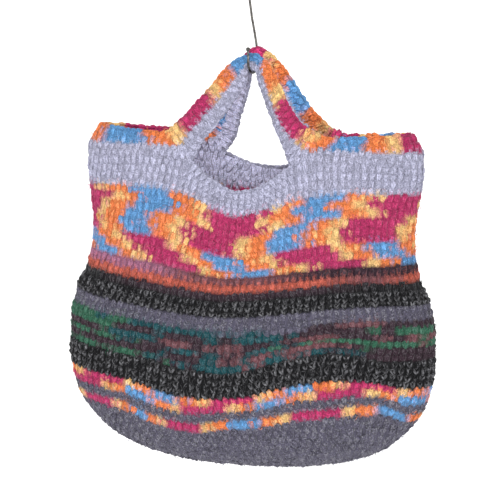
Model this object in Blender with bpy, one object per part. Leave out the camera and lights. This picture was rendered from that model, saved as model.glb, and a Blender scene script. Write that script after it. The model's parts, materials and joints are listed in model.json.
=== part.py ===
"""A crocheted wool handbag that hangs by both handles from a wire hook.

The bag is one piece of felted crochet. It starts at a chain along the bottom, grows in rounds to
an oval base and straight walls, and its last rounds run up over the two hand holes as the handles.
The hook is one bent wire with an eye at its top. Metres, +Z up, the front of the bag towards -Y.
The origin is the centre of the hook's eye, from which everything hangs.
"""

import math

import bmesh
import bpy
import numpy as np

# Driving dimensions, in metres: the cloth's thickness, the bag's bottom below the eye, and the wire
MM = 0.001
CLOTH = 5.5 * MM
BAG_BELOW_EYE = 482.0 * MM
WIRE_RADIUS = 1.2 * MM

# How finely the cloth is divided. The rounds lie a little closer together towards the bottom.
WALL_ROUNDS = 22
ROUND_SPACING_POWER = 1.08
COLUMNS_PER_EAR = 7
COLUMNS_PER_LIP = 12
HANDLE_SUBDIVISION = 3
BAND_ROUNDS = 4
OUTLINE_SAMPLES = 240
MERGE_DISTANCE = 0.1 * MM

# Cross-sections of the bag, in millimetres. Each row is one round of crochet, named by the length of
# cloth between it and the bottom chain, with the half width and the half depths at the front and back
# to the outside of the cloth, the height of the round at its two ends and at its middle, and how boxy
# it is: 2 is an ellipse.
SECTION_COLUMNS = ("along", "half_width", "front", "back", "end_height", "middle_height", "boxiness")
SECTIONS = (
    (0.0, 110.0, 0.0, 0.0, 12.5, 0.0, 2.0),
    (20.0, 131.0, 19.8, 19.8, 20.0, 2.8, 2.0),
    (34.0, 142.0, 32.5, 32.5, 26.0, 9.0, 2.1),
    (47.6, 153.0, 43.0, 43.0, 34.0, 18.5, 2.1),
    (61.0, 162.0, 50.0, 50.0, 43.0, 30.5, 2.2),
    (74.8, 170.5, 54.5, 54.5, 52.5, 44.5, 2.2),
    (88.0, 177.5, 57.0, 57.0, 62.5, 57.5, 2.3),
    (102.0, 183.0, 58.5, 58.5, 76.0, 72.0, 2.3),
    (120.0, 187.0, 59.5, 59.5, 96.0, 91.0, 2.3),
    (145.0, 188.0, 59.5, 59.5, 121.5, 116.0, 2.3),
    (175.0, 187.0, 58.5, 57.5, 151.0, 146.0, 2.3),
    (197.0, 181.0, 57.0, 55.0, 174.0, 168.0, 2.2),
    (213.0, 173.5, 55.5, 53.0, 190.0, 184.0, 2.2),
    (235.0, 168.0, 54.0, 51.0, 212.0, 207.0, 2.1),
    (262.0, 166.0, 51.5, 48.0, 240.5, 240.0, 2.1),
    (291.0, 170.0, 49.5, 45.5, 273.0, 275.0, 2.0),
    (308.0, 172.0, 47.5, 44.0, 289.0, 293.0, 2.0),
    (325.0, 172.5, 45.0, 42.0, 306.0, 312.0, 2.0),
)
# A round keeps its middle height most of the way and turns to its end height near the bag's two ends.
END_LIFT_POWER = 2.6

# The front hangs a little uneven: its rounds dip left of the middle and rise right of it.
UNEVEN_DROP = 5.0 * MM
UNEVEN_FULL_ALONG = 80.0 * MM
UNEVEN_FADES_ALONG = (200.0 * MM, 280.0 * MM)
# Below the front hand hole nothing holds the cloth up, so its rounds sag there.
SAG_DEPTH = 18.0 * MM
SAG_HALF_WIDTH = 46.0 * MM
SAG_STARTS_ALONG = 205.0 * MM
SAG_FULL_ALONG = 291.0 * MM

# The hand holes: where their left and right ends lie, and how far their lower lips dip into the wall
SLIT_ALONG = 325.0 * MM
FRONT_SLIT_ENDS = (-53.0 * MM, 52.0 * MM)
BACK_SLIT_ENDS = (-43.0 * MM, 59.0 * MM)
LIP_DIP = 14.0 * MM
LIP_BULGE = 3.0 * MM

# The top edge over the two folded ends of the bag, the ears, and the round half way down to the holes
TOP_HALF_WIDTH = 160.5 * MM
TOP_HALF_DEPTH = 35.0 * MM
TOP_HEIGHT = 340.0 * MM
TOP_DIP = 5.0 * MM
TOP_ROOT_PAST_SLIT = 28.0 * MM
MIDDLE_HALF_WIDTH = 171.0 * MM
MIDDLE_HALF_DEPTH = 40.5 * MM
MIDDLE_HEIGHT = 324.0 * MM
MIDDLE_ROOT_PAST_SLIT = 13.0 * MM

# The handles, in millimetres from the bottom of the bag. Each row is one place along a handle, from its
# left root to its right root, with the points where it crosses the columns named here.
HANDLE_COLUMNS = ("inner edge", "middle line", "outer edge")
FRONT_HANDLE = (
    ((-43.0, -38.0, 328.0), (-54.0, -37.0, 339.0), (-66.0, -32.0, 347.0)),
    ((-31.0, -32.0, 345.0), (-41.0, -32.0, 355.0), (-51.0, -29.0, 364.0)),
    ((-20.0, -25.0, 361.0), (-29.0, -26.0, 371.0), (-37.5, -24.0, 380.0)),
    ((-11.5, -16.0, 377.0), (-19.5, -18.0, 386.5), (-27.5, -17.0, 395.0)),
    ((-6.5, -8.5, 389.5), (-11.5, -10.5, 398.0), (-17.0, -9.8, 406.0)),
    ((-6.0, -4.6, 400.2), (-6.6, -4.9, 406.0), (-7.6, -4.5, 411.5)),
    ((0.5, -3.4, 400.0), (0.5, -3.6, 407.0), (0.5, -3.4, 413.5)),
    ((5.0, -4.4, 397.0), (6.5, -5.4, 403.0), (8.5, -5.0, 409.5)),
    ((8.5, -6.8, 388.0), (12.5, -10.5, 395.0), (17.0, -10.2, 402.5)),
    ((13.5, -10.0, 375.0), (19.5, -16.5, 381.0), (27.0, -16.5, 389.5)),
    ((20.0, -14.0, 362.0), (26.5, -23.5, 367.0), (36.0, -23.5, 375.0)),
    ((28.0, -20.0, 347.0), (35.0, -30.0, 352.0), (45.0, -29.0, 361.0)),
    ((37.5, -29.0, 331.0), (46.5, -36.0, 338.0), (57.0, -32.5, 347.5)),
)
BACK_HANDLE = (
    ((-32.0, 38.0, 326.0), (-45.0, 38.5, 335.0), (-59.0, 33.0, 343.5)),
    ((-26.5, 34.0, 338.5), (-39.0, 36.0, 347.0), (-51.0, 31.5, 355.5)),
    ((-22.0, 28.0, 352.0), (-33.0, 30.5, 361.0), (-43.0, 26.5, 370.0)),
    ((-15.5, 21.0, 367.0), (-24.5, 23.5, 376.5), (-33.0, 20.0, 385.0)),
    ((-8.5, 12.0, 383.5), (-15.0, 14.5, 393.0), (-22.0, 12.5, 401.5)),
    ((-4.5, 4.8, 399.0), (-6.5, 5.4, 405.5), (-9.0, 4.8, 412.5)),
    ((2.0, 3.4, 400.0), (2.0, 3.8, 410.0), (2.0, 3.4, 420.0)),
    ((7.5, 5.2, 395.0), (11.0, 5.6, 404.0), (14.5, 4.8, 414.0)),
    ((12.5, 10.5, 382.0), (19.5, 11.5, 392.0), (26.0, 9.8, 401.5)),
    ((19.0, 16.5, 367.0), (27.5, 17.5, 377.5), (35.5, 15.5, 387.0)),
    ((26.0, 23.0, 352.0), (35.5, 24.0, 362.5), (45.0, 21.0, 370.5)),
    ((35.5, 30.0, 336.0), (45.5, 31.0, 346.5), (56.0, 27.0, 355.5)),
    ((47.0, 36.0, 321.0), (59.0, 36.5, 331.5), (71.0, 31.0, 341.5)),
)

# The hook's wire, in millimetres from the bottom of the bag: its shank down behind the handles, the
# bend under them, and the short end that stands up in front of them
SHANK = (
    (-6.9, 0.3, 474.0),
    (-6.0, 1.6, 465.0),
    (-4.4, 4.2, 450.0),
    (-2.4, 7.4, 436.0),
    (-0.8, 9.8, 424.0),
    (0.6, 10.5, 411.5),
)
BEND_CENTRE = (-1.4, 0.0, 406.2)
BEND_RADIUS = 10.6
BEND_STEPS = 14
FRONT_END = ((-3.4, -10.5, 411.0), (-3.8, -10.4, 416.5))
BEAD_RADIUS = 2.2
BEAD_STEPS = 8
BEAD_FIRST_TURN = 0.12
BEAD_LAST_TURN = 0.96
EYE_RADIUS = 7.0
EYE_STEPS = 22
EYE_OPENING_DEG = 60.0


def metres_above_bottom(point):
    """A point in millimetres above the bag's bottom, as metres below the eye."""
    x, y, z = point
    return np.array((x * MM, y * MM, z * MM - BAG_BELOW_EYE))


def section(along):
    """The named sizes of the round at this length of cloth, in metres, on a curve through the table."""
    table = np.array(SECTIONS)
    at = table[:, 0] * MM
    slopes = np.gradient(table[:, 1:], at, axis=0)
    k = int(np.clip(np.searchsorted(at, along) - 1, 0, len(at) - 2))
    step = at[k + 1] - at[k]
    t = (along - at[k]) / step
    values = (
        (2 * t**3 - 3 * t**2 + 1) * table[k, 1:]
        + (t**3 - 2 * t**2 + t) * step * slopes[k]
        + (3 * t**2 - 2 * t**3) * table[k + 1, 1:]
        + (t**3 - t**2) * step * slopes[k + 1]
    )
    sizes = dict(zip(SECTION_COLUMNS[1:], values * MM))
    sizes["boxiness"] = values[-1]
    return sizes


def half_outline(half_width, half_depth, boxiness, fraction):
    """(x, y) at a fraction of the way, by length, along half a rounded outline, left end to right end."""
    angle = np.linspace(0.0, math.pi, OUTLINE_SAMPLES)
    power = 2.0 / boxiness
    x = -np.sign(np.cos(angle)) * np.abs(np.cos(angle)) ** power * half_width
    y = np.abs(np.sin(angle)) ** power * half_depth
    length = np.concatenate(([0.0], np.cumsum(np.hypot(np.diff(x), np.diff(y)))))
    length /= length[-1]
    return np.interp(fraction, length, x), np.interp(fraction, length, y)


def smooth_step(value, low, high):
    """0 below low, 1 above high, and an easy change between them."""
    t = min(max((value - low) / (high - low), 0.0), 1.0)
    return t * t * (3.0 - 2.0 * t)


def wall_point(along, turn):
    """A point in the middle of the cloth. turn runs from the left end, 0, over the front to the right end,
    0.5, and back over the back to 1."""
    size = section(along)
    front = turn <= 0.5
    fraction = 2.0 * turn if front else 2.0 * (1.0 - turn)
    half_width = size["half_width"] - CLOTH / 2
    half_depth = max(size["front" if front else "back"] - CLOTH / 2, 0.0)
    x, y = half_outline(half_width, half_depth, size["boxiness"], fraction)
    across = x / half_width
    end_lift = (size["end_height"] - size["middle_height"]) * abs(across) ** END_LIFT_POWER
    height = size["middle_height"] + end_lift
    if front:
        sag = smooth_step(along, SAG_STARTS_ALONG, SAG_FULL_ALONG) * SAG_DEPTH
        height -= sag * math.exp(-((x / SAG_HALF_WIDTH) ** 2))
        uneven = smooth_step(along, 0.0, UNEVEN_FULL_ALONG) - smooth_step(along, *UNEVEN_FADES_ALONG)
        height += uneven * UNEVEN_DROP * math.sin(math.pi * across)
        y = -y
    return np.array((x, y, height + CLOTH / 2 - BAG_BELOW_EYE))


def share_at(half_width, half_depth, boxiness, x):
    """The share of half a rounded outline, by length, between its left end and this x."""
    shares = np.linspace(0.0, 1.0, OUTLINE_SAMPLES)
    xs, _ = half_outline(half_width, half_depth, boxiness, shares)
    return float(np.interp(x, xs, shares))


def column_turns():
    """The turns of the wall's columns at the hand holes, and how far each lies across a hole, -1 to 1.

    Where a column passes beside the holes, under an ear, the second value is None.
    """
    size = section(SLIT_ALONG)
    turns, across = [], []
    for half_start, depth, (left, right) in (
        (0.0, size["front"], FRONT_SLIT_ENDS),
        (0.5, size["back"], (-BACK_SLIT_ENDS[1], -BACK_SLIT_ENDS[0])),
    ):
        outline = (size["half_width"] - CLOTH / 2, depth - CLOTH / 2, size["boxiness"])
        first = share_at(*outline, left) / 2
        last = share_at(*outline, right) / 2
        for k in range(COLUMNS_PER_EAR):
            turns.append(half_start + first * k / COLUMNS_PER_EAR)
            across.append(None)
        for k in range(COLUMNS_PER_LIP + 1):
            share = k / COLUMNS_PER_LIP
            turns.append(half_start + first + (last - first) * share)
            across.append(2 * share - 1)
        for k in range(1, COLUMNS_PER_EAR):
            turns.append(half_start + last + (0.5 - last) * k / COLUMNS_PER_EAR)
            across.append(None)
    return turns, across


def lip_point(along, even_turn, slit_turn, across):
    """A wall point of one column, which leans from its even place in the first round to its place at the
    hand holes. The rounds near a hand hole are pressed down to its curved lip."""
    turn = even_turn + (slit_turn - even_turn) * smooth_step(along, 0.0, SLIT_ALONG)
    if across is None:
        return wall_point(along, turn)
    inside = 1.0 - across * across
    dip = LIP_DIP * inside * smooth_step(along, SAG_FULL_ALONG, SLIT_ALONG)
    point = wall_point(along - dip, turn)
    bulge = LIP_BULGE * inside * smooth_step(along, SAG_FULL_ALONG, SLIT_ALONG)
    point[1] += bulge if turn > 0.5 else -bulge
    return point


def ear_edge(half_width, half_depth, root_x, fraction):
    """(x, y) of a round over an ear, both positive. fraction is 0 at the fold and 1 at the handle's root."""
    outline = (half_width - CLOTH / 2, half_depth - CLOTH / 2, 2.0)
    x, y = half_outline(*outline, fraction * share_at(*outline, -root_x))
    return -x, y


def ear_column(fraction, slit_end, signs):
    """The middle and top points over one column of an ear, with the signs of their x and y."""
    middle = ear_edge(MIDDLE_HALF_WIDTH, MIDDLE_HALF_DEPTH, slit_end + MIDDLE_ROOT_PAST_SLIT, fraction)
    top = ear_edge(TOP_HALF_WIDTH, TOP_HALF_DEPTH, slit_end + TOP_ROOT_PAST_SLIT, fraction)
    dip = TOP_DIP * math.sin(math.pi / 2 * fraction)
    return [
        np.array((signs[0] * x, signs[1] * y, height - BAG_BELOW_EYE))
        for (x, y), height in ((middle, MIDDLE_HEIGHT), (top, TOP_HEIGHT - dip))
    ]


def spline_point(points, k, t):
    """A point t of the way from points[k] to points[k + 1], on a smooth curve through a closed list."""
    count = len(points)
    before, start, end, after = (points[(k + step) % count] for step in (-1, 0, 1, 2))
    return 0.5 * (
        2 * start
        + (end - before) * t
        + (2 * before - 5 * start + 4 * end - after) * t**2
        + (3 * start - before - 3 * end + after) * t**3
    )


def band_stations(wall_top):
    """The stations of the closed band above the wall, in order round the bag.

    Each is (wall column or None, bottom point, middle point, top point); None means the station is on a
    handle, away from the wall. wall_top holds the wall's top points.
    """
    stations = []
    half = len(wall_top) // 2
    faces = (
        (FRONT_HANDLE, (-1, -1), FRONT_SLIT_ENDS),
        (tuple(reversed(BACK_HANDLE)), (1, 1), tuple(reversed(BACK_SLIT_ENDS))),
    )
    for face, (handle, signs, slit_ends) in enumerate(faces):
        for k in range(half):
            column = face * half + k
            if k <= COLUMNS_PER_EAR:
                ear = ear_column(k / COLUMNS_PER_EAR, abs(slit_ends[0]), signs)
            elif k >= COLUMNS_PER_EAR + COLUMNS_PER_LIP:
                fraction = (half - k) / COLUMNS_PER_EAR
                ear = ear_column(fraction, abs(slit_ends[1]), (-signs[0], signs[1]))
            else:
                continue
            stations.append((column, wall_top[column], *ear))
            if k == COLUMNS_PER_EAR:
                for row in handle:
                    stations.append((None, *[metres_above_bottom(point) for point in row]))
    return stations


def band_columns(wall_top):
    """The band's columns: (wall column or None, three points), with the handles' stations subdivided."""
    stations = band_stations(wall_top)
    count = len(stations)
    curves = [[station[k] for station in stations] for k in (1, 2, 3)]
    columns = []
    for k, station in enumerate(stations):
        columns.append((station[0], [curve[k] for curve in curves]))
        if station[0] is None or stations[(k + 1) % count][0] is None:
            for step in range(1, HANDLE_SUBDIVISION):
                t = step / HANDLE_SUBDIVISION
                columns.append((None, [spline_point(curve, k, t) for curve in curves]))
    return columns


def across_band(points, share):
    """A point across the band, on the parabola through its bottom, middle and top points."""
    bottom, middle, top = points
    return (
        bottom * (1 - share) * (1 - 2 * share)
        + middle * 4 * share * (1 - share)
        + top * share * (2 * share - 1)
    )


def wool_material():
    material = bpy.data.materials.new("felted_wool")
    material.use_nodes = True
    shader = material.node_tree.nodes["Principled BSDF"]
    shader.inputs["Base Color"].default_value = (0.42, 0.33, 0.42, 1.0)
    shader.inputs["Roughness"].default_value = 0.95
    shader.inputs["Metallic"].default_value = 0.0
    return material


def wire_material():
    material = bpy.data.materials.new("steel_wire")
    material.use_nodes = True
    shader = material.node_tree.nodes["Principled BSDF"]
    shader.inputs["Base Color"].default_value = (0.36, 0.34, 0.32, 1.0)
    shader.inputs["Roughness"].default_value = 0.3
    shader.inputs["Metallic"].default_value = 1.0
    return material


def add_wall(bm):
    """The rounds from the bottom chain up to the hand holes. Returns the first and the last one."""
    slit_turns, across = column_turns()
    turns = np.arange(len(slit_turns)) / len(slit_turns)
    rounds = []
    for along in np.linspace(0.0, 1.0, WALL_ROUNDS + 1) ** ROUND_SPACING_POWER * SLIT_ALONG:
        rounds.append([bm.verts.new(lip_point(along, *place)) for place in zip(turns, slit_turns, across)])
    for lower, upper in zip(rounds, rounds[1:]):
        for k in range(len(turns)):
            after = (k + 1) % len(turns)
            bm.faces.new((lower[k], lower[after], upper[after], upper[k]))
    return rounds[0], rounds[-1]


def add_band(bm, wall_top):
    """The last rounds, over the ears and the two handles, sewn to the wall's top beside the hand holes."""
    band = []
    for wall_column, points in band_columns([np.array(vert.co) for vert in wall_top]):
        column = []
        for k in range(BAND_ROUNDS + 1):
            if k == 0 and wall_column is not None:
                column.append(wall_top[wall_column])
            else:
                column.append(bm.verts.new(across_band(points, k / BAND_ROUNDS)))
        band.append(column)
    for k, column in enumerate(band):
        after = band[(k + 1) % len(band)]
        for row in range(BAND_ROUNDS):
            bm.faces.new((column[row], after[row], after[row + 1], column[row + 1]))


def make_bag():
    """The middle of the cloth as one sheet with the two hand holes, thickened to both sides."""
    bm = bmesh.new()
    first_round, wall_top = add_wall(bm)
    add_band(bm, wall_top)
    # The first round doubles back on the bottom chain, so its two sides are sewn into one line.
    bmesh.ops.remove_doubles(bm, verts=first_round, dist=MERGE_DISTANCE)
    bmesh.ops.recalc_face_normals(bm, faces=bm.faces)
    mesh = bpy.data.meshes.new("bag")
    bm.to_mesh(mesh)
    bm.free()
    mesh.shade_smooth()
    bag = bpy.data.objects.new("bag", mesh)
    bpy.context.scene.collection.objects.link(bag)
    mesh.materials.append(wool_material())
    thicken = bag.modifiers.new("cloth", "SOLIDIFY")
    thicken.thickness = CLOTH
    thicken.offset = 0.0
    thicken.use_even_offset = True


def hook_route():
    """The wire's centre line and its relative thickness there, from the eye's open end to the bead."""
    eye_z = BAG_BELOW_EYE / MM
    route = []
    for k in range(EYE_STEPS + 1):
        turned = EYE_OPENING_DEG + (360.0 - EYE_OPENING_DEG) * k / EYE_STEPS
        angle = math.pi + math.radians(turned)
        route.append((EYE_RADIUS * math.cos(angle), 0.0, eye_z + EYE_RADIUS * math.sin(angle)))
    route.extend(SHANK)
    across = np.array((SHANK[-1][0] - FRONT_END[0][0], SHANK[-1][1] - FRONT_END[0][1])) / 2
    across /= np.linalg.norm(across)
    for k in range(BEND_STEPS + 1):
        angle = math.pi * k / BEND_STEPS
        out = BEND_RADIUS * math.cos(angle)
        drop = BEND_RADIUS * math.sin(angle)
        x, y = np.array(BEND_CENTRE[:2]) + across * out
        route.append((x, y, BEND_CENTRE[2] - drop))
    route.extend(FRONT_END)
    radii = [1.0] * len(route)
    x, y, z = FRONT_END[-1]
    for turn in np.linspace(BEAD_FIRST_TURN, BEAD_LAST_TURN, BEAD_STEPS + 1)[1:]:
        angle = math.pi * turn
        route.append((x, y, z + BEAD_RADIUS * (1.0 - math.cos(angle))))
        radii.append(BEAD_RADIUS * math.sin(angle) * MM / WIRE_RADIUS)
    return [metres_above_bottom(point) for point in route], radii


def make_hook():
    """The whole wire as one tube along its route."""
    route, radii = hook_route()
    data = bpy.data.curves.new("hook", "CURVE")
    data.dimensions = "3D"
    data.bevel_depth = WIRE_RADIUS
    data.bevel_resolution = 3
    data.use_fill_caps = True
    spline = data.splines.new("POLY")
    spline.points.add(len(route) - 1)
    for point, place, radius in zip(spline.points, route, radii):
        point.co = (*place, 1.0)
        point.radius = radius
    hook = bpy.data.objects.new("hook", data)
    bpy.context.scene.collection.objects.link(hook)
    data.materials.append(wire_material())


for old in list(bpy.data.objects):
    bpy.data.objects.remove(old)
make_bag()
make_hook()
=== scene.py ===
import json
import math
import random

import bmesh
import bpy
import numpy as np
from mathutils import Matrix, Vector

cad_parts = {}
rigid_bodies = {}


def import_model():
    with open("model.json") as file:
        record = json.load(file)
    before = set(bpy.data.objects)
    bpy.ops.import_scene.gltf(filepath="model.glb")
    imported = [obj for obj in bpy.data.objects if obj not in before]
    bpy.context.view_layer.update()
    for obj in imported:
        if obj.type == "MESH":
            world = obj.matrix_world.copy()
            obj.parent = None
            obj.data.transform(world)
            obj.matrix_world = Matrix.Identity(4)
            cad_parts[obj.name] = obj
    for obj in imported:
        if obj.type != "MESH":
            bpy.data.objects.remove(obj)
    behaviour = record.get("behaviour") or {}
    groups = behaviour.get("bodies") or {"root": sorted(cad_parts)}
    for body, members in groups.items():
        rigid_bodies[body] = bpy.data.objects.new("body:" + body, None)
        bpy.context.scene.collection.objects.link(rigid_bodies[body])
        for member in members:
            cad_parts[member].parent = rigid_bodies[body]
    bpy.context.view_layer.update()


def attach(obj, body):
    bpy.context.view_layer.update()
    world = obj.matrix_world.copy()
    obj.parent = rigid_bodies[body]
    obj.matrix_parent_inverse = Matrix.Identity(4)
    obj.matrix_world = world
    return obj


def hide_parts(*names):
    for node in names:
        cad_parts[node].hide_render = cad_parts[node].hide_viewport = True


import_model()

# The view: a long lens in front of the bag, a little to its right and above it, turned by one degree.
# The bag hangs free in a plain white room with a pale floor well below it.
MM = 0.001
CAMERA_AZIMUTH_DEG = 15.0
CAMERA_ELEVATION_DEG = 7.5
CAMERA_ROLL_DEG = 1.0
CAMERA_DISTANCE = 1.9
SENSOR_WIDTH_MM = 36.0
PICTURE_WIDTH = 500
PIXELS_PER_METRE = 1000.0
NEAREST_SEEN = 0.05
FARTHEST_SEEN = 50.0
AIM_HEIGHT = -0.265
AIM_LEFT = 1.0 * MM
AIM_UP = 2.0 * MM

azimuth = math.radians(CAMERA_AZIMUTH_DEG)
elevation = math.radians(CAMERA_ELEVATION_DEG)
roll = math.radians(CAMERA_ROLL_DEG)
towards_camera = Vector((
    math.sin(azimuth) * math.cos(elevation),
    -math.cos(azimuth) * math.cos(elevation),
    math.sin(elevation),
))
level_right = Vector((math.cos(azimuth), math.sin(azimuth), 0.0))
level_up = towards_camera.cross(level_right)
picture_right = math.cos(roll) * level_right + math.sin(roll) * level_up
picture_up = math.cos(roll) * level_up - math.sin(roll) * level_right
aim = Vector((0.0, 0.0, AIM_HEIGHT)) - AIM_LEFT * picture_right + AIM_UP * picture_up


def add_object(name, data):
    """A new object in the scene."""
    placed = bpy.data.objects.new(name, data)
    bpy.context.scene.collection.objects.link(placed)
    return placed


camera_data = bpy.data.cameras.new("photo_camera")
camera_data.sensor_width = SENSOR_WIDTH_MM
camera_data.lens = PIXELS_PER_METRE * CAMERA_DISTANCE * SENSOR_WIDTH_MM / PICTURE_WIDTH
camera_data.clip_start = NEAREST_SEEN
camera_data.clip_end = FARTHEST_SEEN
camera = add_object("photo_camera", camera_data)
turned = Matrix((picture_right, picture_up, towards_camera)).transposed().to_4x4()
camera.matrix_world = Matrix.Translation(aim + towards_camera * CAMERA_DISTANCE) @ turned
bpy.context.scene.camera = camera
bpy.context.scene.view_settings.view_transform = "Standard"

# The room: a pale floor that turns up into a pale wall all round, and a white sky over it.
FLOOR_HEIGHT = -1.0
FLOOR_RADIUS = 4.2
COVE_RADIUS = 1.6
WALL_HEIGHT = 3.2
COVE_STEPS = 12
ROOM_SIDES = 96
FLOOR_COLOUR = (0.93, 0.93, 0.93, 1.0)
FLOOR_ROUGHNESS = 0.9
WHITE = (1.0, 1.0, 1.0, 1.0)
SKY_STRENGTH = 0.5
ROOM_GLOW = 0.45


def paint(name, colour, roughness, metallic=0.0):
    """A material of one colour, and its shader node to build on."""
    material = bpy.data.materials.new(name)
    material.use_nodes = True
    shader = material.node_tree.nodes["Principled BSDF"]
    shader.inputs["Base Color"].default_value = colour
    shader.inputs["Roughness"].default_value = roughness
    shader.inputs["Metallic"].default_value = metallic
    return material, shader


room_profile = [(FLOOR_RADIUS, FLOOR_HEIGHT)]
for step in range(1, COVE_STEPS + 1):
    angle = math.pi / 2 * step / COVE_STEPS
    room_profile.append((
        FLOOR_RADIUS + COVE_RADIUS * math.sin(angle),
        FLOOR_HEIGHT + COVE_RADIUS * (1.0 - math.cos(angle)),
    ))
room_profile.append((FLOOR_RADIUS + COVE_RADIUS, FLOOR_HEIGHT + WALL_HEIGHT))
room_mesh = bmesh.new()
room_middle = room_mesh.verts.new((0.0, 0.0, FLOOR_HEIGHT))
room_rings = []
for radius, height in room_profile:
    ring = []
    for side in range(ROOM_SIDES):
        angle = 2 * math.pi * side / ROOM_SIDES
        ring.append(room_mesh.verts.new((radius * math.cos(angle), radius * math.sin(angle), height)))
    room_rings.append(ring)
for side in range(ROOM_SIDES):
    after = (side + 1) % ROOM_SIDES
    room_mesh.faces.new((room_middle, room_rings[0][side], room_rings[0][after]))
    for inner, outer in zip(room_rings, room_rings[1:]):
        room_mesh.faces.new((inner[side], outer[side], outer[after], inner[after]))
room_data = bpy.data.meshes.new("room")
room_mesh.to_mesh(room_data)
room_mesh.free()
room_data.shade_smooth()
room_paint, room_shader = paint("pale_room", FLOOR_COLOUR, FLOOR_ROUGHNESS)
room_shader.inputs["Emission Color"].default_value = WHITE
room_shader.inputs["Emission Strength"].default_value = ROOM_GLOW
room_data.materials.append(room_paint)
room = add_object("room", room_data)

sky = bpy.data.worlds.new("white_sky")
sky.use_nodes = True
sky.node_tree.nodes["Background"].inputs["Color"].default_value = WHITE
sky.node_tree.nodes["Background"].inputs["Strength"].default_value = SKY_STRENGTH
bpy.context.scene.world = sky

# The lights: (name, place in metres, side in metres, power in watts), each one turned to the bag's middle
SOFT_LIGHTS = (
    ("key_light", (-1.0, -1.7, 1.4), 0.8, 13.0),
    ("high_light", (0.3, -1.3, 1.5), 1.0, 9.0),
    ("front_light", (0.6, -2.6, 0.2), 1.2, 27.0),
    ("side_light", (1.9, -0.6, 0.5), 1.4, 3.0),
    ("back_light", (0.2, 1.9, 1.3), 1.4, 12.0),
)
for name, place, side, power in SOFT_LIGHTS:
    light_data = bpy.data.lights.new(name, "AREA")
    light_data.size = side
    light_data.energy = power
    light = add_object(name, light_data)
    light.location = place
    light.visible_camera = False
    light.rotation_mode = "QUATERNION"
    light.rotation_quaternion = (Vector(place) - aim).to_track_quat("Z", "Y")

# The hook: one bent steel wire with an eye at its top, from which everything hangs. Its shank runs down
# behind the handles, bends under them and stands up in front of them in a small bead.
# Points are in millimetres above the bag's bottom, which hangs this far below the middle of the eye.
BAG_BELOW_EYE = 482.0 * MM
WIRE_RADIUS = 1.2 * MM
SHANK = (
    (-6.9, 0.3, 474.0),
    (-6.0, 1.6, 465.0),
    (-4.4, 4.2, 450.0),
    (-2.4, 7.4, 436.0),
    (-0.8, 9.8, 424.0),
    (0.6, 10.5, 411.5),
)
BEND_CENTRE = (-1.4, 0.0, 406.2)
BEND_RADIUS = 10.6
BEND_STEPS = 20
FRONT_END = ((-3.4, -10.5, 411.0), (-3.8, -10.4, 416.5))
BEAD_RADIUS = 2.2
BEAD_STEPS = 12
BEAD_FIRST_TURN = 0.12
BEAD_LAST_TURN = 0.96
EYE_RADIUS = 7.0
EYE_STEPS = 36
EYE_OPENING_DEG = 60.0
WIRE_SIDES = 5
WIRE_COLOUR = (0.12, 0.11, 0.10, 1.0)
WIRE_ROUGHNESS = 0.32
WEAR_PER_METRE = 420.0
WEAR_DETAIL = 4.0
WEAR_RAMP = ((0.35, (0.05, 0.047, 0.044, 1.0)), (0.65, (0.17, 0.16, 0.15, 1.0)))
WEAR_ROUGHNESS = (0.45, 0.22)


def metres_above_bottom(point):
    """A point in millimetres above the bag's bottom, as metres below the eye."""
    x, y, z = point
    return np.array((x * MM, y * MM, z * MM - BAG_BELOW_EYE))


def hook_route():
    """The wire's centre line and its relative thickness there, from the eye's open end to the bead."""
    eye_z = BAG_BELOW_EYE / MM
    route = []
    for k in range(EYE_STEPS + 1):
        turned_by = EYE_OPENING_DEG + (360.0 - EYE_OPENING_DEG) * k / EYE_STEPS
        angle = math.pi + math.radians(turned_by)
        route.append((EYE_RADIUS * math.cos(angle), 0.0, eye_z + EYE_RADIUS * math.sin(angle)))
    route.extend(SHANK)
    across = np.array((SHANK[-1][0] - FRONT_END[0][0], SHANK[-1][1] - FRONT_END[0][1])) / 2
    across /= np.linalg.norm(across)
    for k in range(BEND_STEPS + 1):
        angle = math.pi * k / BEND_STEPS
        x, y = np.array(BEND_CENTRE[:2]) + across * BEND_RADIUS * math.cos(angle)
        route.append((x, y, BEND_CENTRE[2] - BEND_RADIUS * math.sin(angle)))
    route.extend(FRONT_END)
    radii = [1.0] * len(route)
    x, y, z = FRONT_END[-1]
    for turn in np.linspace(BEAD_FIRST_TURN, BEAD_LAST_TURN, BEAD_STEPS + 1)[1:]:
        angle = math.pi * turn
        route.append((x, y, z + BEAD_RADIUS * (1.0 - math.cos(angle))))
        radii.append(BEAD_RADIUS * math.sin(angle) * MM / WIRE_RADIUS)
    return [metres_above_bottom(point) for point in route], radii


def add_node(tree, kind, feeds=None, **properties):
    """A new node with its properties set, and each input fed by another node's socket or by a value."""
    node = tree.nodes.new(kind)
    for name, value in properties.items():
        setattr(node, name, value)
    for socket, value in (feeds or {}).items():
        if isinstance(value, bpy.types.NodeSocket):
            tree.links.new(value, node.inputs[socket])
        else:
            node.inputs[socket].default_value = value
    return node


def steel_material():
    """Dull drawn steel wire, with darker and duller spots where it has worn."""
    material, shader = paint("steel_wire", WIRE_COLOUR, WIRE_ROUGHNESS, 1.0)
    tree = material.node_tree
    here = add_node(tree, "ShaderNodeTexCoord").outputs["Object"]
    spots = add_node(
        tree,
        "ShaderNodeTexNoise",
        {"Vector": here, "Scale": WEAR_PER_METRE, "Detail": WEAR_DETAIL},
    ).outputs["Fac"]
    tint = add_node(tree, "ShaderNodeValToRGB", {"Fac": spots})
    for stop, (position, colour) in zip(tint.color_ramp.elements, WEAR_RAMP):
        stop.position = position
        stop.color = colour
    dullest, glossiest = WEAR_ROUGHNESS
    gloss = add_node(tree, "ShaderNodeMapRange", {"Value": spots, "To Min": dullest, "To Max": glossiest})
    tree.links.new(tint.outputs["Color"], shader.inputs["Base Color"])
    tree.links.new(gloss.outputs["Result"], shader.inputs["Roughness"])
    return material


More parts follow.
